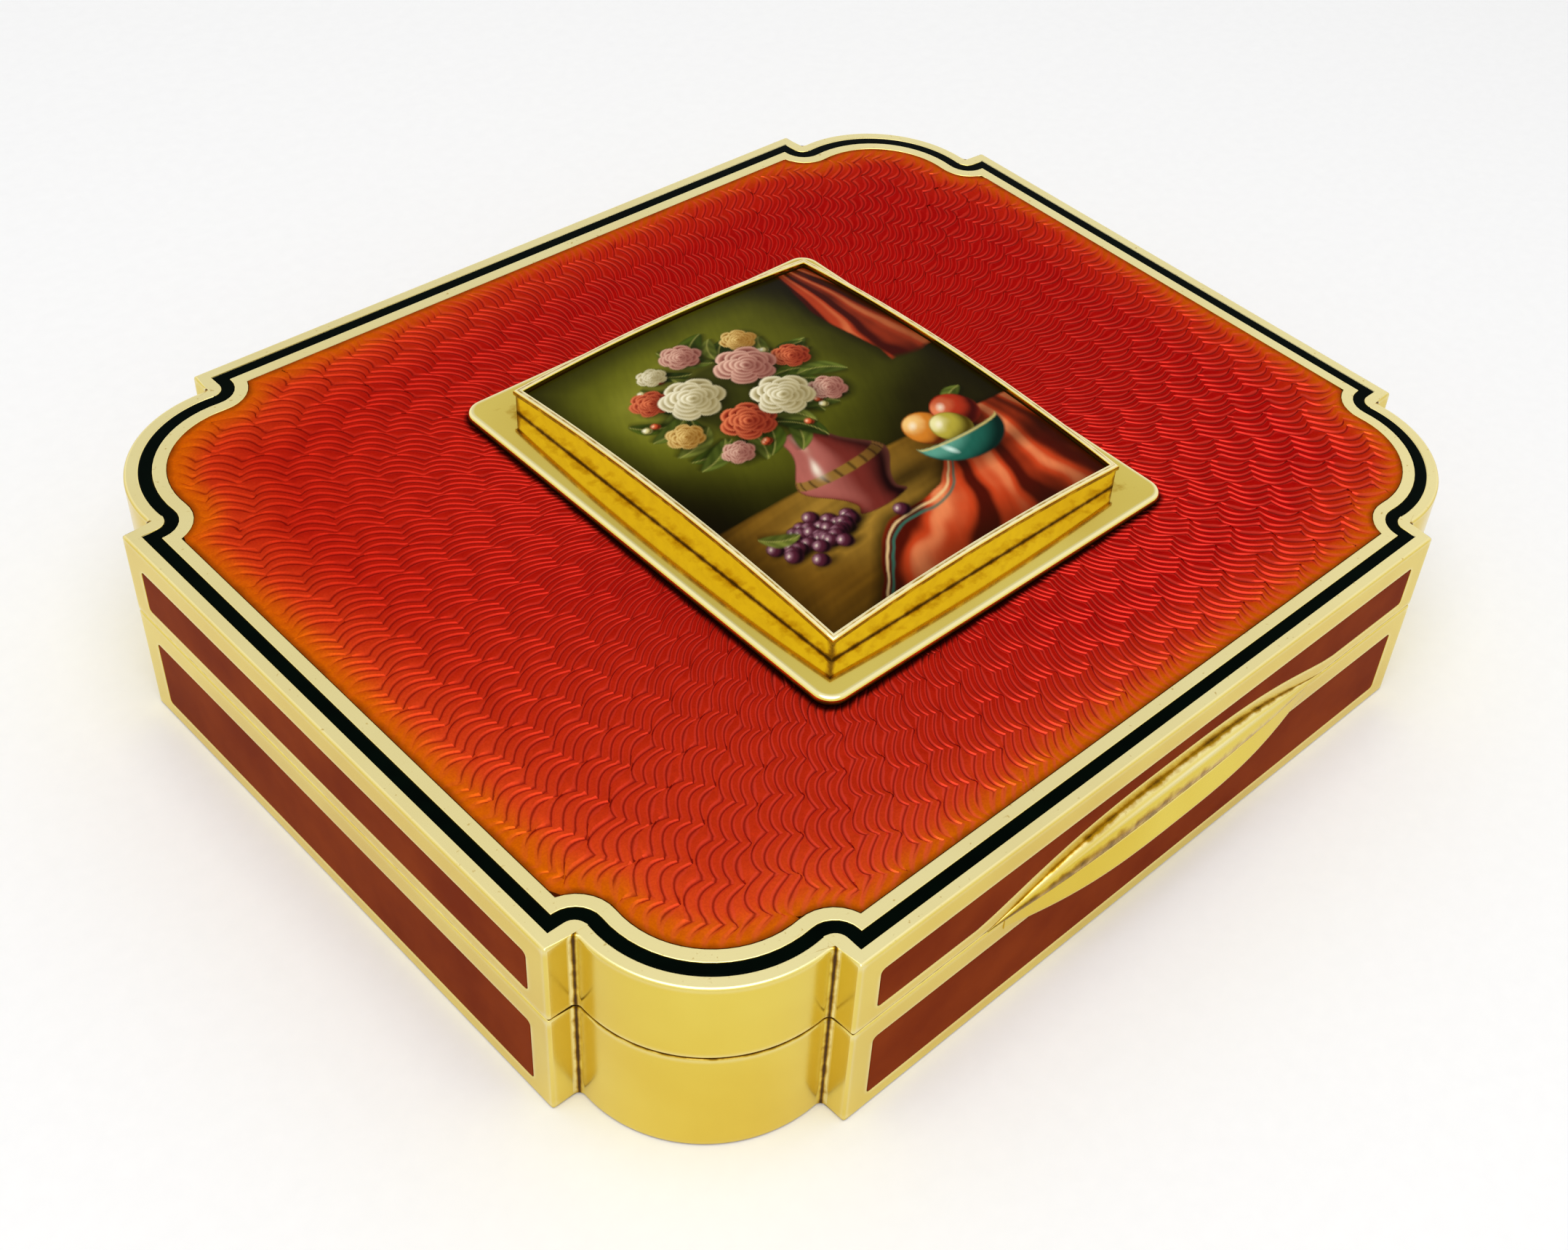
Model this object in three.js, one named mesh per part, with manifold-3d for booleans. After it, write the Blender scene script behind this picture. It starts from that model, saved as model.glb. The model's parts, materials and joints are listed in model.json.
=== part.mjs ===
// Table box with shaped corners, a hinged lid and a framed domed plaque on the lid.
// Millimetres, +Z up, origin at the centre of the underside, thumbpiece towards -Y, hinge at +Y.

import * as THREE from 'three';
import { mergeVertices } from 'three/addons/utils/BufferGeometryUtils.js';
import Module from 'manifold-3d';

const wasm = await Module();
wasm.setup();

// Casing
const LENGTH = 130;
const WIDTH = 110;
const SEAM_HEIGHT = 14.1;
const LID_HEIGHT = 10.4;
const SEAM_GAP = 0.2;
const CORNER_SETBACK = 19.5;
const CORNER_STEP = 3.2;
const LOBE_CENTRE = 18.1;
const BASE_WALL = 1.8;
const LID_WALL = 1.5;
const BOTTOM = 1.2;

// Top plate with its two enamels
const PLATE = 2;
const RECESS = 0.6;
const LINE_WIDTH = 1.4;
const INNER_BORDER = 1.5;
const ENAMEL_GAP = 0.05;
const FLANGE_SEAT = 0.05;

// Enamel panels on the sides
const PANEL_DEPTH = 0.6;
const PANEL_END = 3;
const PANEL_CORNER = 0.5;
const BASE_PANEL_LOW = 2;
const BASE_PANEL_BELOW_SEAM = 3.1;
const LID_PANEL_ABOVE_SEAM = 1.8;
const LID_PANEL_BELOW_TOP = 3.1;
const BACK_PANEL_ABOVE_BARREL = 1.2;

// Thumbpiece: a bead on the lid over a ledge on the base
const BEAD_HALF = 27.5;
const BEAD_HEIGHT = 3.6;
const BEAD_PROUD = 1.45;
const BEAD_FOOT_DEGREES = 50;
const ARCH_STRIP = 1.65;
const LEDGE_HALF = 25;
const LEDGE_TOP = 1.15;
const LEDGE_PROUD = 2;
const LEDGE_NOSE = 0.5;
const LEDGE_DROP = 2.9;
const TAPER_END = 0.05;

// Strips inside the base that guide the closing lid
const STRIP = 0.8;
const STRIP_BELOW = 6;
const STRIP_ABOVE = 1.3;
const STRIP_END = 1;

// Hinge
const HINGE_END = 4.5;
const KNUCKLES = 7;
const BARREL_RADIUS = 1.6;
const PIN_RADIUS = 0.65;
const HINGE_CLEARANCE = 0.3;

// Frame of the domed plaque
const BEZEL_X = 44;
const BEZEL_Y = 52.2;
const BEZEL_WALL = 0.6;
const BEZEL_CORNER_HEIGHT = 3.1;
const DOME_RADIUS = 240;
const RIM_HEIGHT = 0.6;
const RIM_WIDTH = 0.8;
const RIM_OVERHANG = 0.2;
const FLANGE = 1.1;
const FLANGE_BORDER = 4.55;
const FLANGE_CORNER = 2.4;
const FLANGE_EDGE = 0.5;
const PLAQUE = 1.2;
const PLAQUE_GAP = 0.2;
const PLAQUE_UNDER_RIM = 0.05;

// Posts and nuts that hold the frame
const POST_RADIUS = 0.8;
const POST_CLEARANCE = 0.3;
const POST_BELOW_NUT = 0.6;
const NUT = 1.5;
const NUT_ACROSS = 4;

// Steps of the round stretches
const LOBE_STEPS = 18;
const VALLEY_STEPS = 7;
const ROUND_STEPS = 16;
const LOFT_STEPS = 28;
const PROFILE_STEPS = 10;
const DOME_STEPS = 16;

// Levels and places that follow from the sizes above
const LID_TOP = SEAM_HEIGHT + LID_HEIGHT;
const BASE_TOP = SEAM_HEIGHT - SEAM_GAP / 2;
const LID_LOW = SEAM_HEIGHT + SEAM_GAP / 2;
const ENAMEL_FLOOR = LID_TOP - RECESS;
const PLATE_LOW = LID_TOP - PLATE;
const LOBE_ASIDE = CORNER_SETBACK - LOBE_CENTRE;
const LOBE_RADIUS = Math.hypot(LOBE_CENTRE - CORNER_STEP, LOBE_ASIDE);
const LOBE_PAST_QUARTER = THREE.MathUtils.radToDeg(Math.asin(LOBE_ASIDE / LOBE_RADIUS));
const HINGE_LENGTH = LENGTH - 2 * (CORNER_SETBACK + HINGE_END);
const BORE_RADIUS = PIN_RADIUS + HINGE_CLEARANCE;
const GROOVE_RADIUS = BARREL_RADIUS + HINGE_CLEARANCE;
const FLANGE_LOW = LID_TOP + FLANGE_SEAT;
const FLANGE_TOP = FLANGE_LOW + FLANGE;
const POST_X = BEZEL_X / 2 + FLANGE_BORDER / 2;
const POST_Y = BEZEL_Y / 2 + FLANGE_BORDER / 2;
const POST_HOLE = POST_RADIUS + POST_CLEARANCE;

const box = new THREE.Group();

function add(name, geometry, finish) {
  const mesh = new THREE.Mesh(geometry, new THREE.MeshStandardMaterial(finish));
  mesh.name = name;
  box.add(mesh);
}

// Finishes
const GILT = { color: 0xdac658, roughness: 0.22, metalness: 1 };
const RED_ENAMEL = { color: 0xbe1c16, roughness: 0.12, metalness: 0 };
const BROWN_ENAMEL = { color: 0x7a3a1c, roughness: 0.14, metalness: 0 };
const BLACK_ENAMEL = { color: 0x04100a, roughness: 0.1, metalness: 0 };
const PAINTED_ENAMEL = { color: 0x6a5a20, roughness: 0.18, metalness: 0 };

// Booleans
function toSolid(geometry) {
  const plain = geometry.clone();
  plain.deleteAttribute('normal');
  plain.deleteAttribute('uv');
  const welded = mergeVertices(plain, 1e-4);
  const vertProperties = Float32Array.from(welded.getAttribute('position').array);
  const triVerts = Uint32Array.from(welded.getIndex().array);
  return new wasm.Manifold(new wasm.Mesh({ numProp: 3, vertProperties, triVerts }));
}

function toGeometry(solid) {
  const mesh = solid.getMesh();
  const geometry = new THREE.BufferGeometry();
  geometry.setAttribute('position', new THREE.BufferAttribute(Float32Array.from(mesh.vertProperties), 3));
  geometry.setIndex(new THREE.BufferAttribute(Uint32Array.from(mesh.triVerts), 1));
  geometry.computeVertexNormals();
  return geometry;
}

function cut(geometry, ...tools) {
  const result = tools.reduce((solid, tool) => solid.subtract(toSolid(tool)), toSolid(geometry));
  return toGeometry(result);
}

function join(geometry, ...others) {
  const result = others.reduce((solid, other) => solid.add(toSolid(other)), toSolid(geometry));
  return toGeometry(result);
}

// Plan shapes
function arc(centre, radius, fromDegrees, toDegrees, steps) {
  return Array.from({ length: steps + 1 }, (_, i) => {
    const angle = THREE.MathUtils.degToRad(fromDegrees + ((toDegrees - fromDegrees) * i) / steps);
    return new THREE.Vector2(centre.x + radius * Math.cos(angle), centre.y + radius * Math.sin(angle));
  });
}

function withoutRepeats(points) {
  return points.filter((point, i) => point.distanceTo(points.at(i - 1)) > 1e-4);
}

// The lobe of the right back corner, a little more than a quarter circle
function lobeArc(inset) {
  const centre = new THREE.Vector2(LENGTH / 2 - LOBE_CENTRE, WIDTH / 2 - LOBE_CENTRE);
  return arc(centre, LOBE_RADIUS - inset, -LOBE_PAST_QUARTER, 90 + LOBE_PAST_QUARTER, LOBE_STEPS);
}

// One corner of the casing, from the right side to the back: arris, step, lobe, step, arris.
// An inset deeper than the step has no arris left, and its valley arcs start on the straight sides.
function cornerPoints(inset) {
  const rightValley = new THREE.Vector2(LENGTH / 2 - CORNER_STEP, WIDTH / 2 - CORNER_SETBACK);
  const backValley = new THREE.Vector2(LENGTH / 2 - CORNER_SETBACK, WIDTH / 2 - CORNER_STEP);
  const past = Math.max(1 - CORNER_STEP / inset, 0);
  const lost = THREE.MathUtils.radToDeg(Math.asin(past));
  const corner = [
    ...arc(rightValley, inset, -90 - lost, -180 - LOBE_PAST_QUARTER, VALLEY_STEPS),
    ...lobeArc(inset),
    ...arc(backValley, inset, -90 + LOBE_PAST_QUARTER, -180 + lost, VALLEY_STEPS),
  ];
  if (past > 0) return corner;
  return [
    new THREE.Vector2(LENGTH / 2 - inset, rightValley.y - inset),
    ...corner,
    new THREE.Vector2(backValley.x - inset, WIDTH / 2 - inset),
  ];
}

function outline(inset) {
  const corner = cornerPoints(inset);
  const mirrored = (x, y) => corner.map((point) => new THREE.Vector2(point.x * x, point.y * y));
  return withoutRepeats([
    ...mirrored(1, 1),
    ...mirrored(-1, 1).reverse(),
    ...mirrored(-1, -1),
    ...mirrored(1, -1).reverse(),
  ]);
}

function plate(points, low, high, holes = []) {
  const shape = new THREE.Shape(points);
  shape.holes = holes.map((hole) => new THREE.Path(hole));
  const geometry = new THREE.ExtrudeGeometry(shape, { depth: high - low, bevelEnabled: false });
  return geometry.translate(0, 0, low);
}

function postHoles() {
  const circle = (x, y) => arc(new THREE.Vector2(x, y), POST_HOLE, 0, 360, ROUND_STEPS).slice(0, -1);
  return [circle(POST_X, POST_Y), circle(-POST_X, POST_Y), circle(-POST_X, -POST_Y), circle(POST_X, -POST_Y)];
}

// Sides are drawn as the front one, then turned by whole quarter turns without rounding
const SIDES = [
  { name: 'front', quarters: 0, halfSpan: LENGTH / 2 - CORNER_SETBACK, face: WIDTH / 2 },
  { name: 'right', quarters: 1, halfSpan: WIDTH / 2 - CORNER_SETBACK, face: LENGTH / 2 },
  { name: 'back', quarters: 2, halfSpan: LENGTH / 2 - CORNER_SETBACK, face: WIDTH / 2 },
  { name: 'left', quarters: 3, halfSpan: WIDTH / 2 - CORNER_SETBACK, face: LENGTH / 2 },
];

function turned(geometry, quarters) {
  const position = geometry.getAttribute('position');
  for (let i = 0; i < position.count; i += 1) {
    let [x, y] = [position.getX(i), position.getY(i)];
    for (let turn = 0; turn < quarters; turn += 1) [x, y] = [-y, x];
    position.setXY(i, x, y);
  }
  geometry.computeVertexNormals();
  return geometry;
}

// A side sheet with its two ends folded back to the valleys, where the corner lobes are soldered on
function sidePlan(side, wall) {
  const rightValley = new THREE.Vector2(side.halfSpan, CORNER_STEP - side.face);
  const rightEnd = [
    new THREE.Vector2(side.halfSpan, -side.face),
    rightValley,
    ...arc(rightValley, wall, 90 - LOBE_PAST_QUARTER, 180, VALLEY_STEPS),
    new THREE.Vector2(side.halfSpan - wall, -side.face + wall),
  ];
  const leftEnd = rightEnd.map((point) => new THREE.Vector2(-point.x, point.y)).reverse();
  return [...rightEnd, ...leftEnd];
}

// The thumbpiece's arch: 1 over the middle, running out softly to 0 at the ends
function arch(x, half) {
  return Math.max(1 - Math.abs(x / half) ** 3, 0) ** 1.5;
}

function panelShape(half, low, high, archRise, archHalf, grow) {
  const round = PANEL_CORNER;
  const corner = (x, z, from) => arc(new THREE.Vector2(x, z), round + grow, from, from + 90, VALLEY_STEPS);
  const lower = [];
  if (archRise > 0) {
    for (let i = 0; i <= LOFT_STEPS; i += 1) {
      const x = archHalf * ((2 * i) / LOFT_STEPS - 1);
      lower.push(new THREE.Vector2(x, low - grow + archRise * arch(x, archHalf)));
    }
  }
  return [
    ...corner(-half + round, low + round, 180),
    ...lower,
    ...corner(half - round, low + round, 270),
    ...corner(half - round, high - round, 0),
    ...corner(-half + round, high - round, 90),
  ];
}

// A shape drawn in X and Z, made into a sheet that reaches from y = -outer to y = -inner
function upright(points, inner, outer) {
  return plate(points, inner, outer).rotateX(Math.PI / 2);
}

function addSide(part, side, wall, low, high, panel) {
  const half = side.halfSpan - PANEL_END;
  const shape = (grow) => panelShape(half, panel.low, panel.high, panel.archRise, panel.archHalf, grow);
  const floor = side.face - PANEL_DEPTH;
  const recess = upright(shape(ENAMEL_GAP), floor, side.face + 1);
  const sheet = cut(plate(sidePlan(side, wall), low, high), recess, ...panel.cuts);
  add(`${part}_side_${side.name}`, turned(sheet, side.quarters), GILT);
  const enamel = upright(shape(0), floor + ENAMEL_GAP, side.face);
  add(`${part}_enamel_${side.name}`, turned(enamel, side.quarters), BROWN_ENAMEL);
}

// The groove along the back edges that the hinge barrel lies in, drawn on the front
function barrelGroove() {
  const groove = rod(GROOVE_RADIUS, HINGE_LENGTH + 2 * HINGE_CLEARANCE);
  return groove.translate(0, -WIDTH / 2, SEAM_HEIGHT);
}

function rod(radius, length) {
  return new THREE.CylinderGeometry(radius, radius, length, ROUND_STEPS).rotateZ(Math.PI / 2);
}

function addCorners(part, wall, low, high) {
  const sector = [...lobeArc(0), ...lobeArc(wall).reverse()];
  for (const [depthName, y] of [['front', -1], ['back', 1]]) {
    for (const [lengthName, x] of [['left', -1], ['right', 1]]) {
      const points = sector.map((point) => new THREE.Vector2(point.x * x, point.y * y));
      add(`${part}_corner_${depthName}_${lengthName}`, plate(points, low, high), GILT);
    }
  }
}

// A solid lofted along X from profiles of points (out, z), out being the distance in front of the face
function loftOnFront(half, profileAt) {
  const stations = Array.from({ length: LOFT_STEPS + 1 }, (_, i) => half * ((2 * i) / LOFT_STEPS - 1));
  const rings = stations.map((x) => profileAt(x).map(([out, z]) => [x, -WIDTH / 2 - out, z]));
  const count = rings[0].length;
  const index = [];
  for (let i = 0; i < LOFT_STEPS; i += 1) {
    for (let j = 0; j < count; j += 1) {
      const next = (j + 1) % count;
      const [a, b] = [i * count + j, i * count + next];
      index.push(a, a + count, b, b, a + count, b + count);
    }
  }
  const last = LOFT_STEPS * count;
  for (const face of THREE.ShapeUtils.triangulateShape(profileAt(0).map(([y, z]) => new THREE.Vector2(y, z)), [])) {
    index.push(...face, last + face[0], last + face[2], last + face[1]);
  }
  const geometry = new THREE.BufferGeometry();
  geometry.setAttribute('position', new THREE.Float32BufferAttribute(rings.flat(2), 3));
  geometry.setIndex(index);
  geometry.computeVertexNormals();
  return geometry;
}

function taper(x, half) {
  return TAPER_END + (1 - TAPER_END) * arch(x, half);
}

// Half-oval profile on the lid's face, cut off level at the seam
function beadProfile(x) {
  const size = taper(x, BEAD_HALF);
  const foot = THREE.MathUtils.degToRad(BEAD_FOOT_DEGREES);
  const curve = Array.from({ length: PROFILE_STEPS }, (_, i) => {
    const angle = foot + ((Math.PI - foot) * i) / PROFILE_STEPS;
    const rise = (Math.cos(foot) - Math.cos(angle)) / (Math.cos(foot) + 1);
    return [BEAD_PROUD * size * Math.sin(angle), LID_LOW + BEAD_HEIGHT * size * rise];
  });
  return [[0, LID_LOW], ...curve, [0, LID_LOW + BEAD_HEIGHT * size]];
}

// Flat on top, sloping out to a rounded nose, flat underneath
function ledgeProfile(x) {
  const size = taper(x, LEDGE_HALF);
  const low = BASE_TOP - LEDGE_DROP;
  const nose = Array.from({ length: PROFILE_STEPS + 1 }, (_, i) => {
    const angle = (Math.PI * i) / (2 * PROFILE_STEPS);
    const out = LEDGE_PROUD - LEDGE_NOSE * (1 - Math.cos(angle));
    return [out * size, low + LEDGE_NOSE * (1 - Math.sin(angle))];
  });
  return [[0, BASE_TOP], [LEDGE_TOP * size, BASE_TOP], ...nose, [0, low]].reverse();
}

// The dome that the plaque and the rim of its frame follow
function domeHeight(x, y) {
  const corner = (BEZEL_X / 2) ** 2 + (BEZEL_Y / 2) ** 2;
  return FLANGE_TOP + BEZEL_CORNER_HEIGHT + (corner - x ** 2 - y ** 2) / (2 * DOME_RADIUS);
}

function domedSlab(lengthX, lengthY, lowAt, highAt) {
  const geometry = new THREE.BoxGeometry(lengthX, lengthY, 1, DOME_STEPS, DOME_STEPS, 1);
  const position = geometry.getAttribute('position');
  for (let i = 0; i < position.count; i += 1) {
    const level = position.getZ(i) > 0 ? highAt : lowAt;
    position.setZ(i, level(position.getX(i), position.getY(i)));
  }
  geometry.computeVertexNormals();
  return geometry;
}

function roundedRectangle(lengthX, lengthY, radius) {
  const [x, y] = [lengthX / 2 - radius, lengthY / 2 - radius];
  const corner = (cx, cy, from) => arc(new THREE.Vector2(cx, cy), radius, from, from + 90, VALLEY_STEPS);
  return [...corner(x, y, 0), ...corner(-x, y, 90), ...corner(-x, -y, 180), ...corner(x, -y, 270)];
}

function flange() {
  const lengthX = BEZEL_X + 2 * FLANGE_BORDER - 2 * FLANGE_EDGE;
  const lengthY = BEZEL_Y + 2 * FLANGE_BORDER - 2 * FLANGE_EDGE;
  const shape = new THREE.Shape(withoutRepeats(roundedRectangle(lengthX, lengthY, FLANGE_CORNER - FLANGE_EDGE)));
  const rounding = { bevelThickness: FLANGE_EDGE, bevelSize: FLANGE_EDGE, bevelSegments: 4 };
  const sheet = new THREE.ExtrudeGeometry(shape, { depth: FLANGE - 2 * FLANGE_EDGE, ...rounding });
  sheet.translate(0, 0, FLANGE_LOW + FLANGE_EDGE);
  const bottom = PLATE_LOW - NUT - POST_BELOW_NUT;
  const length = FLANGE_LOW + FLANGE / 2 - bottom;
  const post = (x, y) => {
    const geometry = new THREE.CylinderGeometry(POST_RADIUS, POST_RADIUS, length, ROUND_STEPS);
    return geometry.rotateX(Math.PI / 2).translate(x, y, bottom + length / 2);
  };
  return join(
    sheet,
    post(POST_X, POST_Y),
    post(-POST_X, POST_Y),
    post(-POST_X, -POST_Y),
    post(POST_X, -POST_Y),
  );
}

// A mitred collar whose top edge follows the dome, with a thin rim that laps over the plaque
function bezel() {
  const above = (x, y) => domeHeight(x, y) + 1;
  const below = () => FLANGE_TOP - 1;
  const collar = cut(
    domedSlab(BEZEL_X, BEZEL_Y, () => FLANGE_TOP, (x, y) => domeHeight(x, y) - RIM_HEIGHT / 2),
    domedSlab(BEZEL_X - 2 * BEZEL_WALL, BEZEL_Y - 2 * BEZEL_WALL, below, above),
  );
  const [rimX, rimY] = [BEZEL_X + 2 * RIM_OVERHANG, BEZEL_Y + 2 * RIM_OVERHANG];
  const rim = cut(
    domedSlab(rimX, rimY, (x, y) => domeHeight(x, y) - RIM_HEIGHT, domeHeight),
    domedSlab(rimX - 2 * RIM_WIDTH, rimY - 2 * RIM_WIDTH, below, above),
  );
  return join(collar, rim);
}

function plaque() {
  const top = (x, y) => domeHeight(x, y) - RIM_HEIGHT - PLAQUE_UNDER_RIM;
  const inset = 2 * (BEZEL_WALL + PLAQUE_GAP);
  return domedSlab(BEZEL_X - inset, BEZEL_Y - inset, (x, y) => top(x, y) - PLAQUE, top);
}

function nut(x, y) {
  const centre = new THREE.Vector2(x, y);
  const hexagon = arc(centre, NUT_ACROSS / Math.sqrt(3), 0, 360, 6).slice(0, -1);
  const hole = arc(centre, POST_HOLE, 0, 360, ROUND_STEPS).slice(0, -1);
  return plate(hexagon, PLATE_LOW - NUT, PLATE_LOW, [hole]);
}

// Base
const barrelTop = BARREL_RADIUS + HINGE_CLEARANCE + BACK_PANEL_ABOVE_BARREL;
add('base_bottom', plate(outline(BASE_WALL), 0, BOTTOM), GILT);
for (const side of SIDES) {
  addSide('base', side, BASE_WALL, 0, BASE_TOP, {
    low: BASE_PANEL_LOW,
    high: SEAM_HEIGHT - BASE_PANEL_BELOW_SEAM,
    archRise: 0,
    archHalf: 0,
    cuts: side.name === 'back' ? [barrelGroove()] : [],
  });
}
addCorners('base', BASE_WALL, 0, BASE_TOP);
for (const side of SIDES.filter(({ name }) => name !== 'back')) {
  const half = side.halfSpan - BASE_WALL - STRIP_END;
  const height = STRIP_BELOW + STRIP_ABOVE;
  const strip = new THREE.BoxGeometry(2 * half, STRIP, height);
  strip.translate(0, -side.face + BASE_WALL + STRIP / 2, SEAM_HEIGHT - STRIP_BELOW + height / 2);
  add(`closing_strip_${side.name}`, turned(strip, side.quarters), GILT);
}
add('thumb_ledge', loftOnFront(LEDGE_HALF, ledgeProfile), GILT);

// Lid
add('lid_plate', join(
  plate(outline(LID_WALL), PLATE_LOW, ENAMEL_FLOOR, postHoles()),
  plate(
    outline(LID_WALL + LINE_WIDTH),
    ENAMEL_FLOOR,
    LID_TOP,
    [outline(LID_WALL + LINE_WIDTH + INNER_BORDER)],
  ),
), GILT);
for (const side of SIDES) {
  const isBack = side.name === 'back';
  const low = SEAM_HEIGHT + (isBack ? barrelTop : LID_PANEL_ABOVE_SEAM);
  addSide('lid', side, LID_WALL, LID_LOW, LID_TOP, {
    low,
    high: LID_TOP - LID_PANEL_BELOW_TOP,
    archRise: side.name === 'front' ? LID_LOW + BEAD_HEIGHT + ARCH_STRIP - low : 0,
    archHalf: BEAD_HALF + ARCH_STRIP,
    cuts: isBack ? [barrelGroove()] : [],
  });
}
addCorners('lid', LID_WALL, LID_LOW, LID_TOP);
add('lid_line_enamel', plate(
  outline(LID_WALL + ENAMEL_GAP),
  ENAMEL_FLOOR + ENAMEL_GAP,
  LID_TOP,
  [outline(LID_WALL + LINE_WIDTH - ENAMEL_GAP)],
), BLACK_ENAMEL);
add('lid_field_enamel', plate(
  outline(LID_WALL + LINE_WIDTH + INNER_BORDER + ENAMEL_GAP),
  ENAMEL_FLOOR + ENAMEL_GAP,
  LID_TOP,
  postHoles(),
), RED_ENAMEL);
add('thumb_bead', loftOnFront(BEAD_HALF, beadProfile), GILT);

// Hinge: knuckles alternate between base and lid on one pin
const pitch = HINGE_LENGTH / KNUCKLES;
for (let i = 0; i < KNUCKLES; i += 1) {
  const knuckle = cut(rod(BARREL_RADIUS, pitch - HINGE_CLEARANCE), rod(BORE_RADIUS, pitch));
  knuckle.translate((i - (KNUCKLES - 1) / 2) * pitch, WIDTH / 2, SEAM_HEIGHT);
  add(`${i % 2 ? 'lid' : 'base'}_knuckle_${Math.floor(i / 2) + 1}`, knuckle, GILT);
}
add('hinge_pin', rod(PIN_RADIUS, HINGE_LENGTH).translate(0, WIDTH / 2, SEAM_HEIGHT), GILT);

// Framed plaque
add('plaque_flange', flange(), GILT);
add('plaque_bezel', bezel(), GILT);
add('plaque', plaque(), PAINTED_ENAMEL);
[[1, 1], [-1, 1], [-1, -1], [1, -1]].forEach(([x, y], i) => {
  add(`flange_nut_${i + 1}`, nut(x * POST_X, y * POST_Y), GILT);
});

export default box;
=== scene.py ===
import json
import math
from functools import partial

import bmesh
import bpy
import numpy as np
from mathutils import Matrix, Vector

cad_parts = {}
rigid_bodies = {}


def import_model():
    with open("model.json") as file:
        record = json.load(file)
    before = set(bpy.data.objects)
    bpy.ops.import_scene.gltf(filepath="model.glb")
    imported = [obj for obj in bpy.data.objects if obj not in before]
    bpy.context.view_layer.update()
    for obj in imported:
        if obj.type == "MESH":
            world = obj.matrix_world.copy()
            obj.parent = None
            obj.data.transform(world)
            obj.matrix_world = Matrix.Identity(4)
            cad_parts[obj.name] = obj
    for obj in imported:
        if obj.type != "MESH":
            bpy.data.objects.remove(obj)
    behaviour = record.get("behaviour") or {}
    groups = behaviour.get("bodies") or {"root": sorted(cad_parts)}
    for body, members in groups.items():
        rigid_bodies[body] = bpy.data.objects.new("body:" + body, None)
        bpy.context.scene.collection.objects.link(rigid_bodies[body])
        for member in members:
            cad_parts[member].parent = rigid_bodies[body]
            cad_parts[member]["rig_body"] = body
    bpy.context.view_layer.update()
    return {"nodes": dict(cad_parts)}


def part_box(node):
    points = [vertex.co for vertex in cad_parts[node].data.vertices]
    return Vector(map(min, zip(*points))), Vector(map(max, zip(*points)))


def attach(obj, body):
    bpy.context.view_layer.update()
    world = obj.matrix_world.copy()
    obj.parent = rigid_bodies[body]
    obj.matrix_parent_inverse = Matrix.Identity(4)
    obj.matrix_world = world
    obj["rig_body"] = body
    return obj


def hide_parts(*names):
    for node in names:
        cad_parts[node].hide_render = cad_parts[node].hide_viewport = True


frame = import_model()

# The box stands on its underside, thumbpiece towards -Y and hinge at +Y. All lengths are in metres.
MM = 0.001
NODES = frame["nodes"]

# Sizes of the casing that are repeated here
LOBE_CENTRE = 18.1 * MM
BASE_WALL = 1.8 * MM
LID_WALL = 1.5 * MM

# Sizes that the frame gives
HALF_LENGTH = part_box("lid_side_right")[1].x
HALF_WIDTH = -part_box("lid_side_front")[0].y
LID_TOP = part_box("lid_side_right")[1].z
BASE_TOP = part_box("base_side_right")[1].z
LID_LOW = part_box("lid_side_right")[0].z
BASE_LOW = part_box("base_side_right")[0].z
SEAM = (BASE_TOP + LID_LOW) / 2
ARRIS_X, ARRIS_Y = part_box("lid_corner_back_right")[0].xy
LOBE_X, LOBE_Y = HALF_LENGTH - LOBE_CENTRE, HALF_WIDTH - LOBE_CENTRE
LOBE_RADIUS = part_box("lid_corner_back_right")[1].x - LOBE_X
LOBE_PAST_QUARTER = math.degrees(math.asin((LOBE_X - ARRIS_X) / LOBE_RADIUS))
CORNER_STEP = LOBE_CENTRE - LOBE_RADIUS * math.cos(math.radians(LOBE_PAST_QUARTER))
FIELD_INSET = HALF_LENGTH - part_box("lid_field_enamel")[1].x
FIELD_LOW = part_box("lid_field_enamel")[0].z
FLANGE_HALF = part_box("plaque_flange")[1].xy
PLAQUE_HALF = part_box("plaque")[1].xy
PLAQUE_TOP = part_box("plaque")[1].z
PLAQUE_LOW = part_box("plaque")[0].z

# Edges as the polisher leaves them: how far each kind is rounded
ARRIS = 0.35 * MM
SEAM_EDGE = 0.26 * MM
PANEL_EDGE = 0.10 * MM
VALLEY_FILLET = 0.8 * MM
SOLDER_LAP = 0.5 * MM
LINE_EDGE = 0.10 * MM
INNER_EDGE = 0.15 * MM
SHARP_ANGLE = math.radians(30)
FLAT_ANGLE = math.radians(0.05)
WELD = 0.001 * MM
NEAR = 0.02 * MM
ROUNDING_SEGMENTS = 3
RING_STEPS = 5
LOBE_STEPS = 60
FILLET_STEPS = 12

# Old soiling, painted shade, painted reflections and painted highlights, as shares
VALLEY_LINE = 0.24
VALLEY_DIRT = 0.62
VALLEY_STAIN = 0.36
SEAM_GRIME = 1.3
CREASE_SOILING_AND_SHADE = 0.72
LEDGE_SHADE = 0.48
LEDGE_SHADE_FALL = 0.22
LIP_SHADE = 0.6
RIM_SHADE_AND_REFLECTION = 0.5
FOOT_STAIN = 0.45
MITRE_GRIME = 0.7
FLANGE_SHADE_BY_COLLAR = 0.4
FLANGE_EDGE_HIGHLIGHT = 0.85

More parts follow.
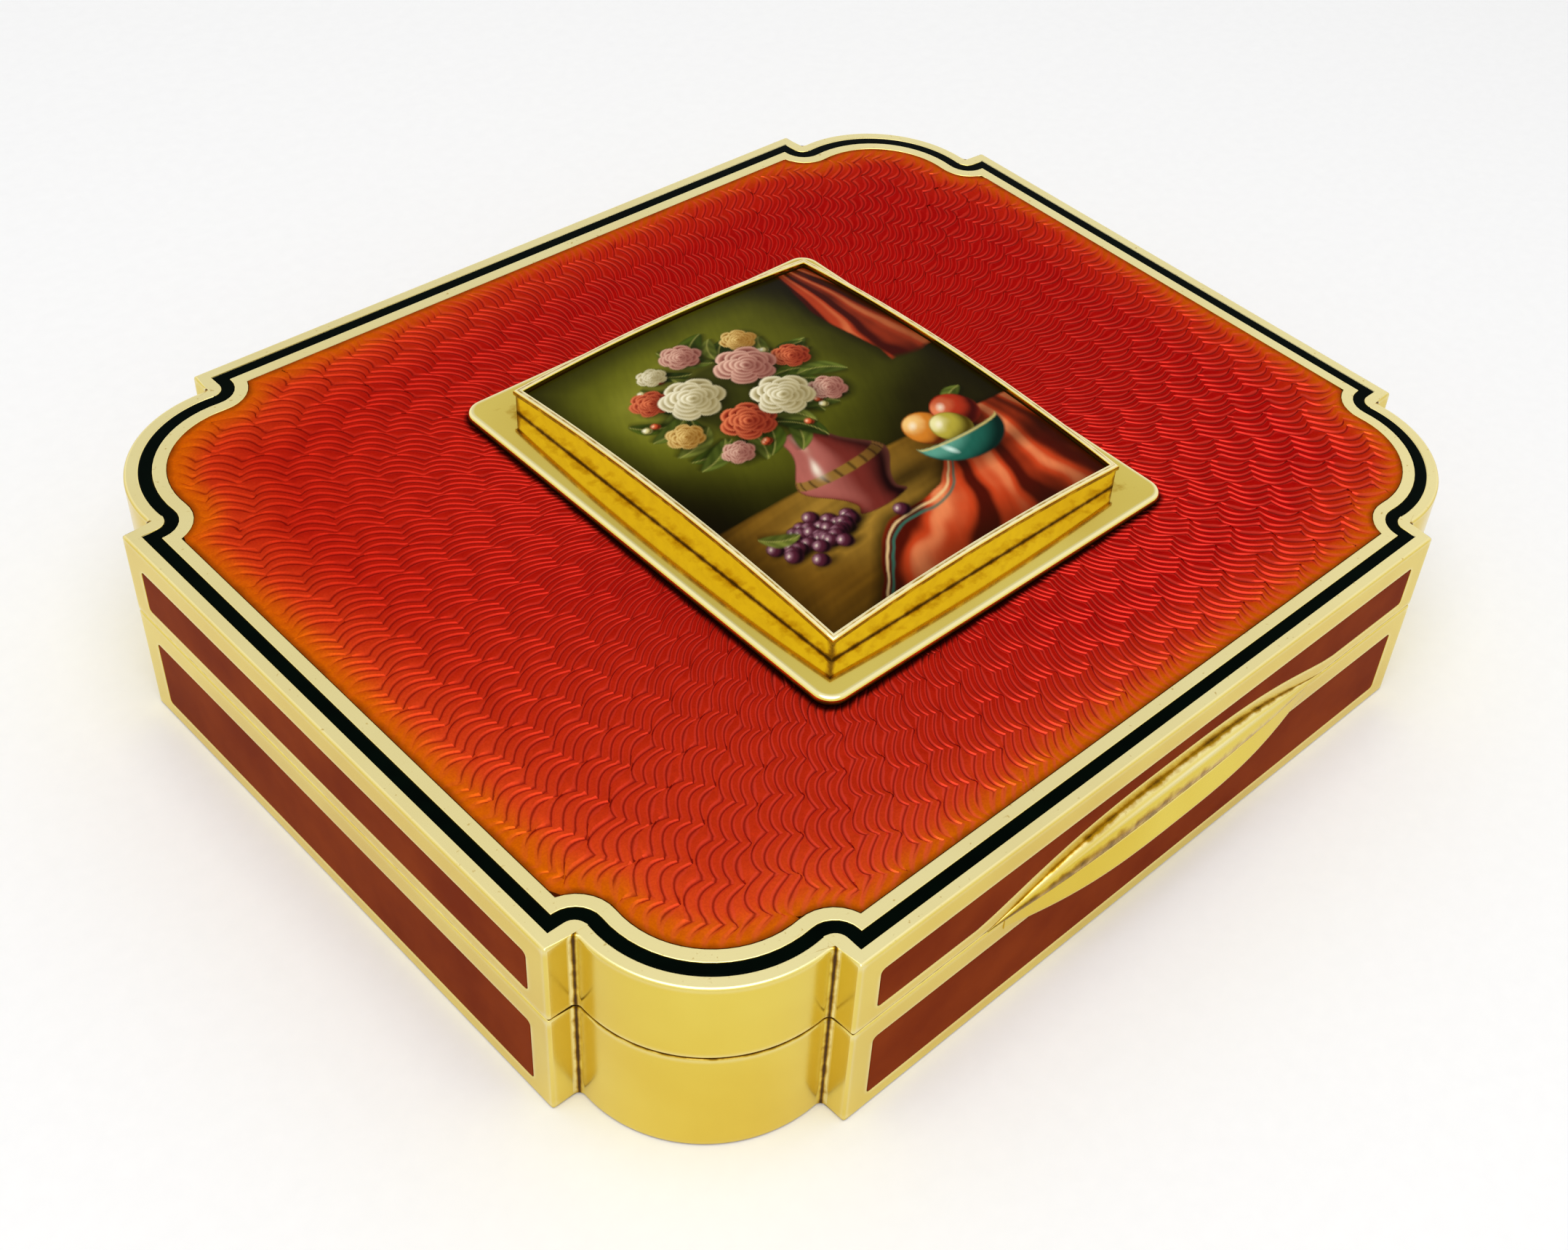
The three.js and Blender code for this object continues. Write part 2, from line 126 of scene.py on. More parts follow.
# Engraved field
RAYS = 304
STEPS_ACROSS_RAY = 3
STEPS_ALONG_RAY = 80
RAYS_IN_GROUP = 4
SCALLOP = 4.8 * MM
SCALLOP_SWING = 1.0
GROUP_SHIFT = 0.32
CUT_SLOPE = 0.42
CUT_HALF_WIDTH = 0.29
CUT_FADE = 2.4 * MM
CUT_SHARP = math.radians(18)
UNDER_FLANGE = 1.2 * MM

# Thumbpiece
BEAD_FOOT = math.radians(50)
# Painted shade on the bead's lower side: its reach round the profile, its lean along the bead, its softness
SHADED_TO, SHADE_SLANT, SHADE_SOFT = math.radians(126), math.radians(22), math.radians(34)
CREASE_FROM = math.radians(138)
# Painted highlight on the bead: its angle round the profile, its softness, and its brightest place along it
HIGHLIGHT_AT, HIGHLIGHT_SOFT = math.radians(137), math.radians(9)
BRIGHTEST = 0.15
LEDGE_TOP = 1.15 * MM
LEDGE_NOSE = 0.5 * MM
LEDGE_EDGE = 0.25 * MM
LEDGE_END_DROP = 0.35
TAPER_END = 0.05
BEAD_STEPS = 24
LENGTH_STEPS = 96

# Frame of the plaque
DOME_RADIUS = 240 * MM
RIM_HEIGHT = 0.6 * MM
RIM_OVER_PLAQUE = 0.05 * MM
RIM_TOP = PLAQUE_TOP + RIM_HEIGHT + RIM_OVER_PLAQUE
RIM_WIDTH = 0.8 * MM
RIM_OVERHANG = 0.2 * MM
RIM_EDGE = 0.22 * MM
BEZEL_WALL = 0.6 * MM
FLANGE_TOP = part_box("plaque_bezel")[0].z
FOOT_GRIME = 0.65 * MM
FLANGE_CORNER = 2.4 * MM
FLANGE_EDGE = 0.5 * MM
# How far in from the flange's edge its painted highlight reaches
EDGE_HIGHLIGHT_REACH = 0.8 * MM
POST_RADIUS = 0.8 * MM

# Painted plaque
PAINT_STEP = 0.166 * MM
PAINT_SEED = 7
LEAVES = 34
BERRIES = 24
GRAPES = 34


# Small helpers

def linear(colour):
    """An sRGB hex colour as linear RGBA."""
    values = [int(colour[i:i + 2], 16) / 255 for i in (1, 3, 5)]
    return (*[v / 12.92 if v <= 0.04045 else ((v + 0.055) / 1.055) ** 2.4 for v in values], 1.0)


def put(tree, kind, links=(), operation=None, **settings):
    """Adds a node, of a shader kind unless the kind says otherwise. The operation and the settings are its
    properties; links feed its inputs, in order or by name, with values, hex colours, sockets or nodes, of
    which the first output is taken."""
    node = tree.nodes.new(kind if kind.startswith(("GeometryNode", "NodeGroup")) else f"ShaderNode{kind}")
    if operation:
        node.operation = operation
    for name, value in settings.items():
        setattr(node, name, value)
    if not isinstance(links, dict):
        shown = [socket for socket in node.inputs if socket.enabled]
        links = dict(zip([socket.identifier for socket in shown], links))
    by_identifier = {socket.identifier: socket for socket in node.inputs}
    for name, value in links.items():
        socket = by_identifier.get(name) or node.inputs[name]
        if isinstance(value, bpy.types.Node):
            value = next(output for output in value.outputs if output.enabled)
        if isinstance(value, bpy.types.NodeSocket):
            tree.links.new(value, socket)
        else:
            is_colour = isinstance(value, str) and value.startswith("#")
            socket.default_value = linear(value) if is_colour else value
    return node


def new_material(name, recipe):
    """A material whose recipe adds its nodes and returns what feeds its shader."""
    material = bpy.data.materials.new(name)
    material.use_nodes = True
    material.node_tree.nodes.clear()
    add = partial(put, material.node_tree)
    shader = add("BsdfPrincipled", recipe(add))
    add("OutputMaterial", {"Surface": shader})
    return material


def new_piece(name, vertices, faces):
    mesh = bpy.data.meshes.new(name)
    mesh.from_pydata([tuple(v) for v in vertices], [], [tuple(f) for f in faces])
    piece = bpy.data.objects.new(name, mesh)
    bpy.context.scene.collection.objects.link(piece)
    return piece


def settle(piece):
    """Turns a piece and its modifiers into a plain mesh."""
    depsgraph = bpy.context.evaluated_depsgraph_get()
    mesh = bpy.data.meshes.new_from_object(piece.evaluated_get(depsgraph))
    piece.modifiers.clear()
    piece.data = mesh
    return piece


def smooth(piece, sharp=SHARP_ANGLE):
    """Shades a piece smooth but for its sharp edges."""
    piece.data.shade_smooth()
    piece.data.set_sharp_from_angle(angle=sharp)


def lay_soiling_and_light(piece, soiling_and_painted_light):
    """How much old soiling and painted shade darken the gilt at each vertex; below 0, a painted highlight."""
    layer = piece.data.attributes.new("soiling_and_painted_light", "FLOAT", "POINT")
    layer.data.foreach_set("value", soiling_and_painted_light)


def stand_for(piece, node):
    """The piece rides with the node that it stands for."""
    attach(piece, NODES[node]["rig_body"])
    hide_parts(node)


# Materials

# The enamels' skin hardly mirrors the white room in the photograph, so its IOR is lower than that of glass
QUIET_IOR = 1.06


def polished_gilt(add):
    """Fire-gilt silver, polished by hand: lemon gold, mirror bright on the plaque's frame and nearly so on
    the walls, worn paler on top and along the edges. The collar is a deeper yellow, a painted reflection.
    Old soiling stains it amber and then dark brown, with ragged edges, in the valleys, the seam and the
    creases; painted shade darkens it the same way in tight gaps, round the plaque's rim, on the flange and
    under the thumbpiece's bead. Painted highlights lie on the bead and along the flange's edge."""
    coordinates = add("TexCoord").outputs
    place = coordinates["Object"]
    broad = add("TexNoise", {"Vector": place, "Scale": 1 / (16 * MM), "Detail": 2.0})
    tone = add("MapRange", [broad, 0.35, 0.65, 0.0, 1.0])
    gold = add("Mix", [tone, "#dcc048", "#e3cc58"], data_type="RGBA")
    upwards = add("SeparateXYZ", [coordinates["Normal"]]).outputs["Z"]
    where = add("SeparateXYZ", [place]).outputs
    height = where["Z"]
    on_casing = add("Math", [height, LID_TOP + NEAR], "LESS_THAN")
    on_rim = add("Math", [height, FLANGE_TOP + RIM_HEIGHT], "GREATER_THAN")
    wear_and_highlight = add("Math", [on_casing, on_rim], "MAXIMUM")
    wear_and_highlight = add("MapRange", [wear_and_highlight, 0.0, 1.0, 0.14, 1.0])
    level = add("MapRange", [upwards, 0.6, 0.95, 0.0, 1.0])
    worn = add("Math", [level, wear_and_highlight], "MULTIPLY")
    worn_casing = add("Math", [on_casing, worn], "MULTIPLY")
    flecks = add("MapRange", [broad, 0.3, 0.7, 0.69, 0.79])
    share = add("Math", [worn, flecks], "MULTIPLY")
    on_frame = add("Math", [height, FLANGE_TOP - NEAR], "GREATER_THAN")
    upright = add("MapRange", [upwards, 0.3, 0.6, 1.0, 0.0])
    on_collar = add("Math", [on_frame, upright], "MULTIPLY")
    # Painted reflection: the collar's upright faces take a deeper yellow, as if they mirrored the flange
    gold_in_painted_reflection = add("Mix", [on_collar, gold, "#f2d428"], data_type="RGBA")
    wear_and_highlight_tone = add("Mix", [on_rim, "#f0e6b2", "#f8eec8"], data_type="RGBA")
    shade = add("AmbientOcclusion", {"Distance": 0.8 * MM}, samples=8)
    inward = add("AmbientOcclusion", {"Distance": 1.1 * MM}, samples=8, inside=True, only_local=True)
    at_edge = add("MapRange", [inward.outputs["AO"], 0.5, 0.85, 0.7, 0.0])
    open_to_rub = add("MapRange", [shade.outputs["AO"], 0.75, 0.95, 0.0, 1.0])
    on_sheet = add("Math", [where["Y"], -HALF_WIDTH - NEAR], "GREATER_THAN")
    for needed in (on_casing, open_to_rub, on_sheet):
        at_edge = add("Math", [at_edge, needed], "MULTIPLY")
    soiling_and_painted_light = add("Attribute", attribute_name="soiling_and_painted_light").outputs["Fac"]
    # Values below 0 are painted highlights, on the bead and along the flange's edge, in the pale worn tone
    painted_highlight = add("MapRange", [soiling_and_painted_light, 0.0, -1.0, 0.0, 1.0])
    for bright in (at_edge, painted_highlight):
        share = add("Math", [share, bright], "MAXIMUM")
    pale = add("Mix", [share, gold_in_painted_reflection, wear_and_highlight_tone], data_type="RGBA")
    # Soiling and painted shade in tight gaps that ambient occlusion finds, such as the closed seam
    gap_soiling_and_shade = add("MapRange", [shade.outputs["AO"], 0.2, 0.42, 0.6, 0.0])
    patches = add("TexNoise", {"Vector": place, "Scale": 1 / (1.3 * MM), "Detail": 4.0})
    bare = add("MapRange", [patches, 0.3, 0.7, 0.05, 0.55])
    soiling_and_painted_light = add("Math", [soiling_and_painted_light, 1.45], "MULTIPLY")
    soiling_and_painted_light = add("Math", [soiling_and_painted_light, bare], "SUBTRACT", use_clamp=True)
    flat = add("Math", [upwards], "ABSOLUTE")
    flat = add("MapRange", [flat, 0.93, 0.995, 0.0, 1.0])
    at_seam = add("Math", [height, SEAM, (LID_LOW - BASE_TOP) / 2 + NEAR], "COMPARE")
    on_joint_face = add("Math", [flat, at_seam], "MULTIPLY")
    soiling_and_painted_light = add("Math", [soiling_and_painted_light, on_joint_face], "SUBTRACT", use_clamp=True)
    # Soiling and painted shade together stain the gold amber and then dark brown
    darkening = add("Math", [soiling_and_painted_light, gap_soiling_and_shade], "MAXIMUM")
    tarnish = add("MapRange", [patches, 0.4, 0.75, 0.0, 0.22])
    tarnish = add("Math", [tarnish, on_collar], "MULTIPLY")
    stain = add("MapRange", [darkening, 0.0, 0.45, 0.0, 1.0])
    stain = add("Math", [stain, tarnish], "MAXIMUM")
    pits = add("TexNoise", {"Vector": place, "Scale": 1 / (0.7 * MM), "Detail": 3.0})
    pits = add("MapRange", [pits, 0.66, 0.74, 0.0, 0.6])
    pits = add("Math", [pits, worn_casing], "MULTIPLY")
    stain = add("Math", [stain, pits], "MAXIMUM")
    colour = add("Mix", [stain, pale, "#b48a14"], data_type="RGBA")
    dark = add("MapRange", [darkening, 0.35, 0.95, 0.0, 0.96])
    colour = add("Mix", [dark, colour, "#442604"], data_type="RGBA")
    polish = add("MapRange", [on_casing, 0.0, 1.0, 0.09, 0.19])
    rough = add("Math", [worn_casing, 0.06, polish], "MULTIPLY_ADD")
    rough = add("Math", [dark, 0.3, rough], "MULTIPLY_ADD")
    metal = add("Math", [dark, -0.5, 1.0], "MULTIPLY_ADD")
    waves = add("TexNoise", {"Vector": place, "Scale": 1 / (7 * MM), "Detail": 1.0})
    bump = add("Bump", {"Height": waves, "Strength": 0.25, "Distance": 0.05 * MM})
    return {
        "Base Color": colour, "Roughness": rough, "Metallic": metal, "Normal": bump,
        "Specular IOR Level": 0.1,
    }


def red_enamel(add):
    """Translucent red enamel fired over an engraved ground: the metal under it glows through, more orange
    where the coat thins out along the border, darker where it fills the cuts. Painted light makes it lighter
    and more orange towards the near corner, and painted highlights lie along the sides of the cuts. It is
    thicker to the left, where the cuts and their painted highlights show less. A ragged black ring of painted
    shadow, with soiling, lies round the flange's foot. Its own skin is smooth."""
    place = add("TexCoord").outputs["Object"]
    rim = add("Attribute", attribute_name="rim").outputs["Fac"]
    cut = add("Attribute", attribute_name="cut").outputs["Fac"]
    cloud = add("TexNoise", {"Vector": place, "Scale": 1 / (2.4 * MM), "Detail": 4.0})
    drift = add("TexNoise", {"Vector": place, "Scale": 1 / (30 * MM), "Detail": 1.0})
    uneven = add("Math", [cloud, 1.6, rim], "MULTIPLY_ADD")
    uneven = add("Math", [drift, 3.2, uneven], "MULTIPLY_ADD")
    # Painted light: the enamel turns lighter and more orange towards the near corner
    near = add("VectorMath", [place, (-0.7, -0.7, 0)], "DOT_PRODUCT").outputs["Value"]
    near = add("MapRange", [near, 25 * MM, 75 * MM, 0.0, 1.0])
    uneven = add("Math", [near, -1.0, uneven], "MULTIPLY_ADD")
    thin = add("MapRange", [uneven, 2.2, 6.4, 1.0, 0.0], interpolation_type="SMOOTHSTEP")
    warm = add("MapRange", [rim, 0.0, 11.0, 0.55, 0.0], interpolation_type="SMOOTHSTEP")
    deep = add("MapRange", [cloud, 0.3, 0.7, 0.0, 1.0])
    red = add("Mix", [deep, "#b4160d", "#a40c09"], data_type="RGBA")
    left = add("VectorMath", [place, (-1.0, 0.4, 0)], "DOT_PRODUCT").outputs["Value"]
    thick = add("MapRange", [left, 15 * MM, 65 * MM, 0.0, 1.0])
    warm = add("Math", [near, 0.62, warm], "MULTIPLY_ADD", use_clamp=True)
    warm = add("Math", [thick, 0.16, warm], "MULTIPLY_ADD", use_clamp=True)
    red = add("Mix", [warm, red, "#d8481a"], data_type="RGBA")
    body = add("Mix", [thin, red, "#d06204"], data_type="RGBA")
    edge = add("Math", [cloud, 0.9, rim], "MULTIPLY_ADD")
    burnt = add("MapRange", [edge, 0.45, 1.15, 0.85, 0.0])
    body = add("Mix", [burnt, body, "#7e3a04"], data_type="RGBA")
    grain = add("TexNoise", {"Vector": place, "Scale": 1 / (0.22 * MM), "Detail": 2.0})
    grain = add("MapRange", [grain, 0.3, 0.7, 0.0, 0.22])
    body = add("Mix", [grain, body, "#7c0806"], data_type="RGBA")
    # Painted highlight on the sides of each cut, fading where the coat is thicker to the left
    highlight_share = add("MapRange", [thick, 0.0, 1.0, 0.38, 0.0])
    cut_highlight = add("MapRange", [cut, 0.0, 0.2, 0.0, highlight_share])
    colour = add("Mix", [cut_highlight, body, "#d84438"], data_type="RGBA")
    filled = add("MapRange", [cut, 0.5, 0.9, 0.0, 0.65])
    colour = add("Mix", [filled, colour, "#6c0605"], data_type="RGBA")
    # Painted shadow, with some soiling, round the flange's foot: a ragged black ring on the enamel
    from_middle = add("VectorMath", [place], "ABSOLUTE")
    straight = (FLANGE_HALF[0] - FLANGE_CORNER, FLANGE_HALF[1] - FLANGE_CORNER, 1.0)
    past = add("VectorMath", [from_middle, straight], "SUBTRACT")
    past = add("VectorMath", [past, (0, 0, 0)], "MAXIMUM")
    past = add("VectorMath", [past], "LENGTH").outputs["Value"]
    ragged = add("Math", [cloud, 0.7 * MM, past], "MULTIPLY_ADD")
    begin, end = FLANGE_CORNER + 0.5 * MM, FLANGE_CORNER + 1.05 * MM
    darkening = add("MapRange", [ragged, begin, end, 0.9, 0.0])
    colour = add("Mix", [darkening, colour, "#140402"], data_type="RGBA")
    up = add("VectorTransform", [(0, 0, 1)], vector_type="NORMAL", convert_from="OBJECT", convert_to="WORLD")
    rough = add("MapRange", [thick, 0.0, 1.0, 0.30, 0.56])
    return {
        "Base Color": colour, "Roughness": rough, "Metallic": 0.7, "IOR": QUIET_IOR,
        "Specular Tint": "#a01008", "Coat Weight": 0.2, "Coat Roughness": 0.04, "Coat IOR": QUIET_IOR,
        "Coat Normal": up,
    }


def brown_enamel(add):
    """Red-brown enamel, fired and stoned flat: deep and even with faint clouds, and a quiet skin."""
    place = add("TexCoord").outputs["Object"]
    cloud = add("TexNoise", {"Vector": place, "Scale": 1 / (9 * MM), "Detail": 4.0})
    tone = add("MapRange", [cloud, 0.35, 0.65, 0.0, 1.0])
    colour = add("Mix", [tone, "#7a2c0e", "#8a3812"], data_type="RGBA")
    return {
        "Base Color": colour, "Roughness": 0.22, "IOR": QUIET_IOR, "Specular IOR Level": 0.12,
    }


def black_enamel(add):
    """Opaque black-green enamel in a narrow channel: nearly black, with a green cast in the light."""
    place = add("TexCoord").outputs["Object"]
    cloud = add("TexNoise", {"Vector": place, "Scale": 1 / (3 * MM), "Detail": 3.0})
    colour = add("Mix", [cloud, "#000201", "#020b05"], data_type="RGBA")
    return {"Base Color": colour, "Roughness": 0.15, "IOR": QUIET_IOR}


def painted_enamel(add):
    """Enamel colours painted on copper and fired under a clear flux: soft brush marks below a quiet skin."""
    paint = add("Attribute", attribute_name="paint").outputs["Color"]
    return {"Base Color": paint, "Roughness": 0.25, "IOR": QUIET_IOR}


def white_paper(add):
    """Matt white paper under the box: soft and even. Its fibres are drawn coarser than they are, to show."""
    place = add("TexCoord").outputs["Object"]
    fibres = add("TexNoise", {"Vector": place, "Scale": 1 / (2 * MM), "Detail": 3.0})
    colour = add("Mix", [fibres, "#fafafa", "#ffffff"], data_type="RGBA")
    return {"Base Color": colour, "Roughness": 0.8, "Specular IOR Level": 0.1}


GILT = new_material("polished_gilt", polished_gilt)
RED = new_material("red_enamel_over_engraving", red_enamel)
BROWN = new_material("red_brown_enamel", brown_enamel)
BLACK = new_material("black_green_enamel", black_enamel)
PAINTED = new_material("painted_enamel", painted_enamel)
PAPER = new_material("white_paper", white_paper)


# Sheets and fittings, as copies of their solids with the edges rounded

def is_on_casing(point):
    """Whether a point lies on the outside of a side sheet: on its face, or on a step beside a lobe."""
    x, y = abs(point.x), abs(point.y)
    on_face = abs(x - HALF_LENGTH) < NEAR or abs(y - HALF_WIDTH) < NEAR
    on_step = abs(y - ARRIS_Y) < NEAR and x > HALF_LENGTH - CORNER_STEP - NEAR
    on_other_step = abs(x - ARRIS_X) < NEAR and y > HALF_WIDTH - CORNER_STEP - NEAR
    return on_face or on_step or on_other_step


def is_soldered(point):
    """Whether a point of a side sheet lies past its valley, where a corner lobe is soldered on."""
    return abs(point.x) > ARRIS_X + NEAR and abs(point.y) > ARRIS_Y + NEAR


def casing_rounding(edge):
    """How far an edge of a side sheet is rounded."""
    a, b = (vertex.co for vertex in edge.verts)
    if is_soldered(a) or is_soldered(b):
        return 0
    if not (is_on_casing(a) and is_on_casing(b)):
        return LINE_EDGE if min(a.z, b.z) > LID_TOP - NEAR else INNER_EDGE
    if (a - b).xy.length < NEAR:
        if abs(abs(a.x) - ARRIS_X) > NEAR and abs(abs(a.y) - ARRIS_Y) > NEAR:
            return PANEL_EDGE
        at_arris = abs(abs(a.x) - HALF_LENGTH) < NEAR or abs(abs(a.y) - HALF_WIDTH) < NEAR
        return ARRIS if at_arris else 0
    if abs(a.z - b.z) < NEAR and (a.z > LID_TOP - NEAR or a.z < BASE_LOW + NEAR):
        return ARRIS
    if abs(a.z - b.z) < NEAR and BASE_TOP - NEAR < a.z < LID_LOW + NEAR:
        return SEAM_EDGE
    return PANEL_EDGE


def dressed(node, material, rounding):
    """A copy of a CAD node with its edges rounded, by one amount or by a rule for each edge."""
    source = NODES[node].data
    faces = [polygon.vertices for polygon in source.polygons]
    piece = new_piece(f"{node}_finished", [vertex.co for vertex in source.vertices], faces)
    work = bmesh.new()
    work.from_mesh(piece.data)
    bmesh.ops.remove_doubles(work, verts=work.verts, dist=WELD)
    bmesh.ops.dissolve_limit(work, angle_limit=FLAT_ANGLE, verts=work.verts, edges=work.edges)
    weight = work.edges.layers.float.new("bevel_weight_edge")
    for edge in work.edges:
        if edge.is_convex and edge.calc_face_angle(0) > SHARP_ANGLE:
            edge[weight] = (rounding(edge) if callable(rounding) else rounding) / ARRIS
    work.to_mesh(piece.data)
    work.free()
    smooth(piece)
    bevel = piece.modifiers.new("rounded", "BEVEL")
    bevel.width = ARRIS
    bevel.limit_method = "WEIGHT"
    bevel.segments = ROUNDING_SEGMENTS
    bevel.use_clamp_overlap = False
    bevel.harden_normals = True
    piece.data.materials.append(material)
    settle(piece)
    lay_soiling_and_light(piece, [SEAM_GRIME * (BASE_TOP - NEAR < v.co.z < LID_LOW + NEAR) for v in piece.data.vertices])
    stand_for(piece, node)


def sheets_and_fittings():
    roundings = {
        "lid_side": casing_rounding, "base_side": casing_rounding, "lid_plate": LINE_EDGE,
        "base_knuckle": 0.2 * MM, "lid_knuckle": 0.2 * MM, "hinge_pin": 0.12 * MM,
        "closing_strip": 0.15 * MM, "flange_nut": 0.2 * MM, "base_bottom": 0,
    }
    for node in sorted(NODES):
        for start, rounding in roundings.items():
            if node.startswith(start):
                dressed(node, GILT, rounding)
        if "_enamel_" in node:
            dressed(node, BROWN, PANEL_EDGE)
    dressed("lid_line_enamel", BLACK, LINE_EDGE)


# Rounded gilt pieces, each drawn through rings of points

def arc(centre, radius, start, end, steps):
    """Points along an arc, whose angles are in degrees."""
    angles = np.radians(np.linspace(start, end, steps + 1))
    return np.column_stack((centre[0] + radius * np.cos(angles), centre[1] + radius * np.sin(angles)))


def rounded_wall(low, high, low_round, high_round):
    """Pairs of inset and height up a wall whose lower and upper edges are rounded."""
    quarter = np.linspace(0, math.pi / 2, RING_STEPS + 1)
    rise = [(low_round * (1 - math.sin(t)), low + low_round * (1 - math.cos(t))) for t in quarter]
    fall = [(high_round * (1 - math.cos(t)), high - high_round * (1 - math.sin(t))) for t in quarter]
    return rise + fall


def raised(plan, z):
    """A plan's points at one height, or each at its own."""
    return np.column_stack((plan, np.broadcast_to(z, len(plan))))


def ringed(rings, looped=False):
    """Vertices and faces of a solid through rings of points, closed by its end rings or by looping back."""
    count = len(rings[0])
    faces = []
    for i in range(len(rings) if looped else len(rings) - 1):
        a, b = i * count, (i + 1) % len(rings) * count
        faces += [(a + j, a + (j + 1) % count, b + (j + 1) % count, b + j) for j in range(count)]
    if not looped:
        faces += [tuple(range(count)), tuple(range((len(rings) - 1) * count, len(rings) * count))]
    return np.vstack(rings), faces


def gilt_piece(node, solids, soiling_and_painted_light=()):
    """A gilt piece of one or more ringed solids, smooth but for its sharp edges, that stands for a node.
    Soiling, painted shade and painted highlights are given for its first vertices, and the others are clean."""
    vertices, faces = [], []
    for points, joined in solids:
        faces += [tuple(i + len(vertices) for i in face) for face in joined]
        vertices += list(points)
    piece = new_piece(f"{node}_finished", vertices, faces)
    work = bmesh.new()
    work.from_mesh(piece.data)
    bmesh.ops.recalc_face_normals(work, faces=work.faces)
    work.to_mesh(piece.data)
    work.free()
    lay_soiling_and_light(piece, [*soiling_and_painted_light, *[0] * (len(vertices) - len(soiling_and_painted_light))])
    smooth(piece)
    weighted = piece.modifiers.new("flat_faces_stay_flat", "WEIGHTED_NORMAL")
    weighted.keep_sharp = True
    piece.data.materials.append(GILT)
    settle(piece)
    stand_for(piece, node)


def lobe_plan(inset, wall):
    """Plan of the lobe at the back right, moved in by an inset: out over the solder in one valley, round
    the lobe, over the solder in the other valley, and back along the hollow side. Both ends lap into the
    sheets."""
    below_centre = LOBE_Y - ARRIS_Y - VALLEY_FILLET
    reach = math.sqrt((LOBE_RADIUS + VALLEY_FILLET) ** 2 - below_centre ** 2)
    lean = math.degrees(math.atan2(below_centre, reach))
    lap = SOLDER_LAP + inset
    fillet = VALLEY_FILLET + inset
    step_x, step_y = HALF_LENGTH - CORNER_STEP, HALF_WIDTH - CORNER_STEP
    past = LOBE_PAST_QUARTER
    return np.vstack((
        [(step_x, ARRIS_Y - lap)],
        arc((LOBE_X + reach, ARRIS_Y + VALLEY_FILLET), fillet, -90, -180 - lean, FILLET_STEPS)[:-1],
        arc((LOBE_X, LOBE_Y), LOBE_RADIUS - inset, -lean, 90 + lean, LOBE_STEPS),
        arc((ARRIS_X + VALLEY_FILLET, LOBE_Y + reach), fillet, -90 + lean, -180, FILLET_STEPS)[1:],
        [(ARRIS_X - lap, step_y), (ARRIS_X - SOLDER_LAP, step_y - wall / 2)],
        arc((LOBE_X, LOBE_Y), LOBE_RADIUS - wall, 90 + past, -past, LOBE_STEPS),
        [(step_x - wall / 2, ARRIS_Y - SOLDER_LAP)],
    ))


def lobe_grime():
    """Dirt along the lobe's plan: a dark line in the middle of each valley, with a softer stain round it."""
    along = np.linspace(-1, 1, FILLET_STEPS + 1)
    line = VALLEY_DIRT * np.exp(-(along / VALLEY_LINE) ** 2) + VALLEY_STAIN * (1 - along ** 2)
    return [0, *line[:-1], *[0] * (LOBE_STEPS + 1), *line[1:], 0, 0, *[0] * (LOBE_STEPS + 1), 0]


def corner_lobes():
    walls = {
        "base": (BASE_WALL, rounded_wall(BASE_LOW, BASE_TOP, ARRIS, SEAM_EDGE)),
        "lid": (LID_WALL, rounded_wall(LID_LOW, LID_TOP, SEAM_EDGE, ARRIS)),
    }
    for part, (wall, levels) in walls.items():
        for name, mirror in {"front_left": (-1, -1), "front_right": (1, -1),
                             "back_left": (-1, 1), "back_right": (1, 1)}.items():
            rings, soiling_and_painted_light = [], []
            for inset, z in levels:
                in_seam = SEAM_GRIME * inset / SEAM_EDGE * (abs(z - SEAM) < 2 * SEAM_EDGE)
                soiling_and_painted_light += [max(darkening, in_seam) for darkening in lobe_grime()]
                at_line = LINE_EDGE if z > LID_TOP - NEAR else 0
                plan = lobe_plan(inset, wall - at_line) * mirror
                heights = np.full(len(plan), z)
                # What laps into the sheets stays just inside them, so that no two faces coincide
                lapped = [0, -LOBE_STEPS - 4, -LOBE_STEPS - 3, -1]
                heights[lapped] = np.clip(z, levels[0][1] + NEAR, levels[-1][1] - NEAR)
                rings.append(raised(plan, heights))
            gilt_piece(f"{part}_corner_{name}", [ringed(rings)], soiling_and_painted_light)


def taper(share):
    """The thumbpiece's size along its length: whole in the middle, running out softly to the ends."""
    return TAPER_END + (1 - TAPER_END) * (1 - abs(share) ** 3) ** 1.5


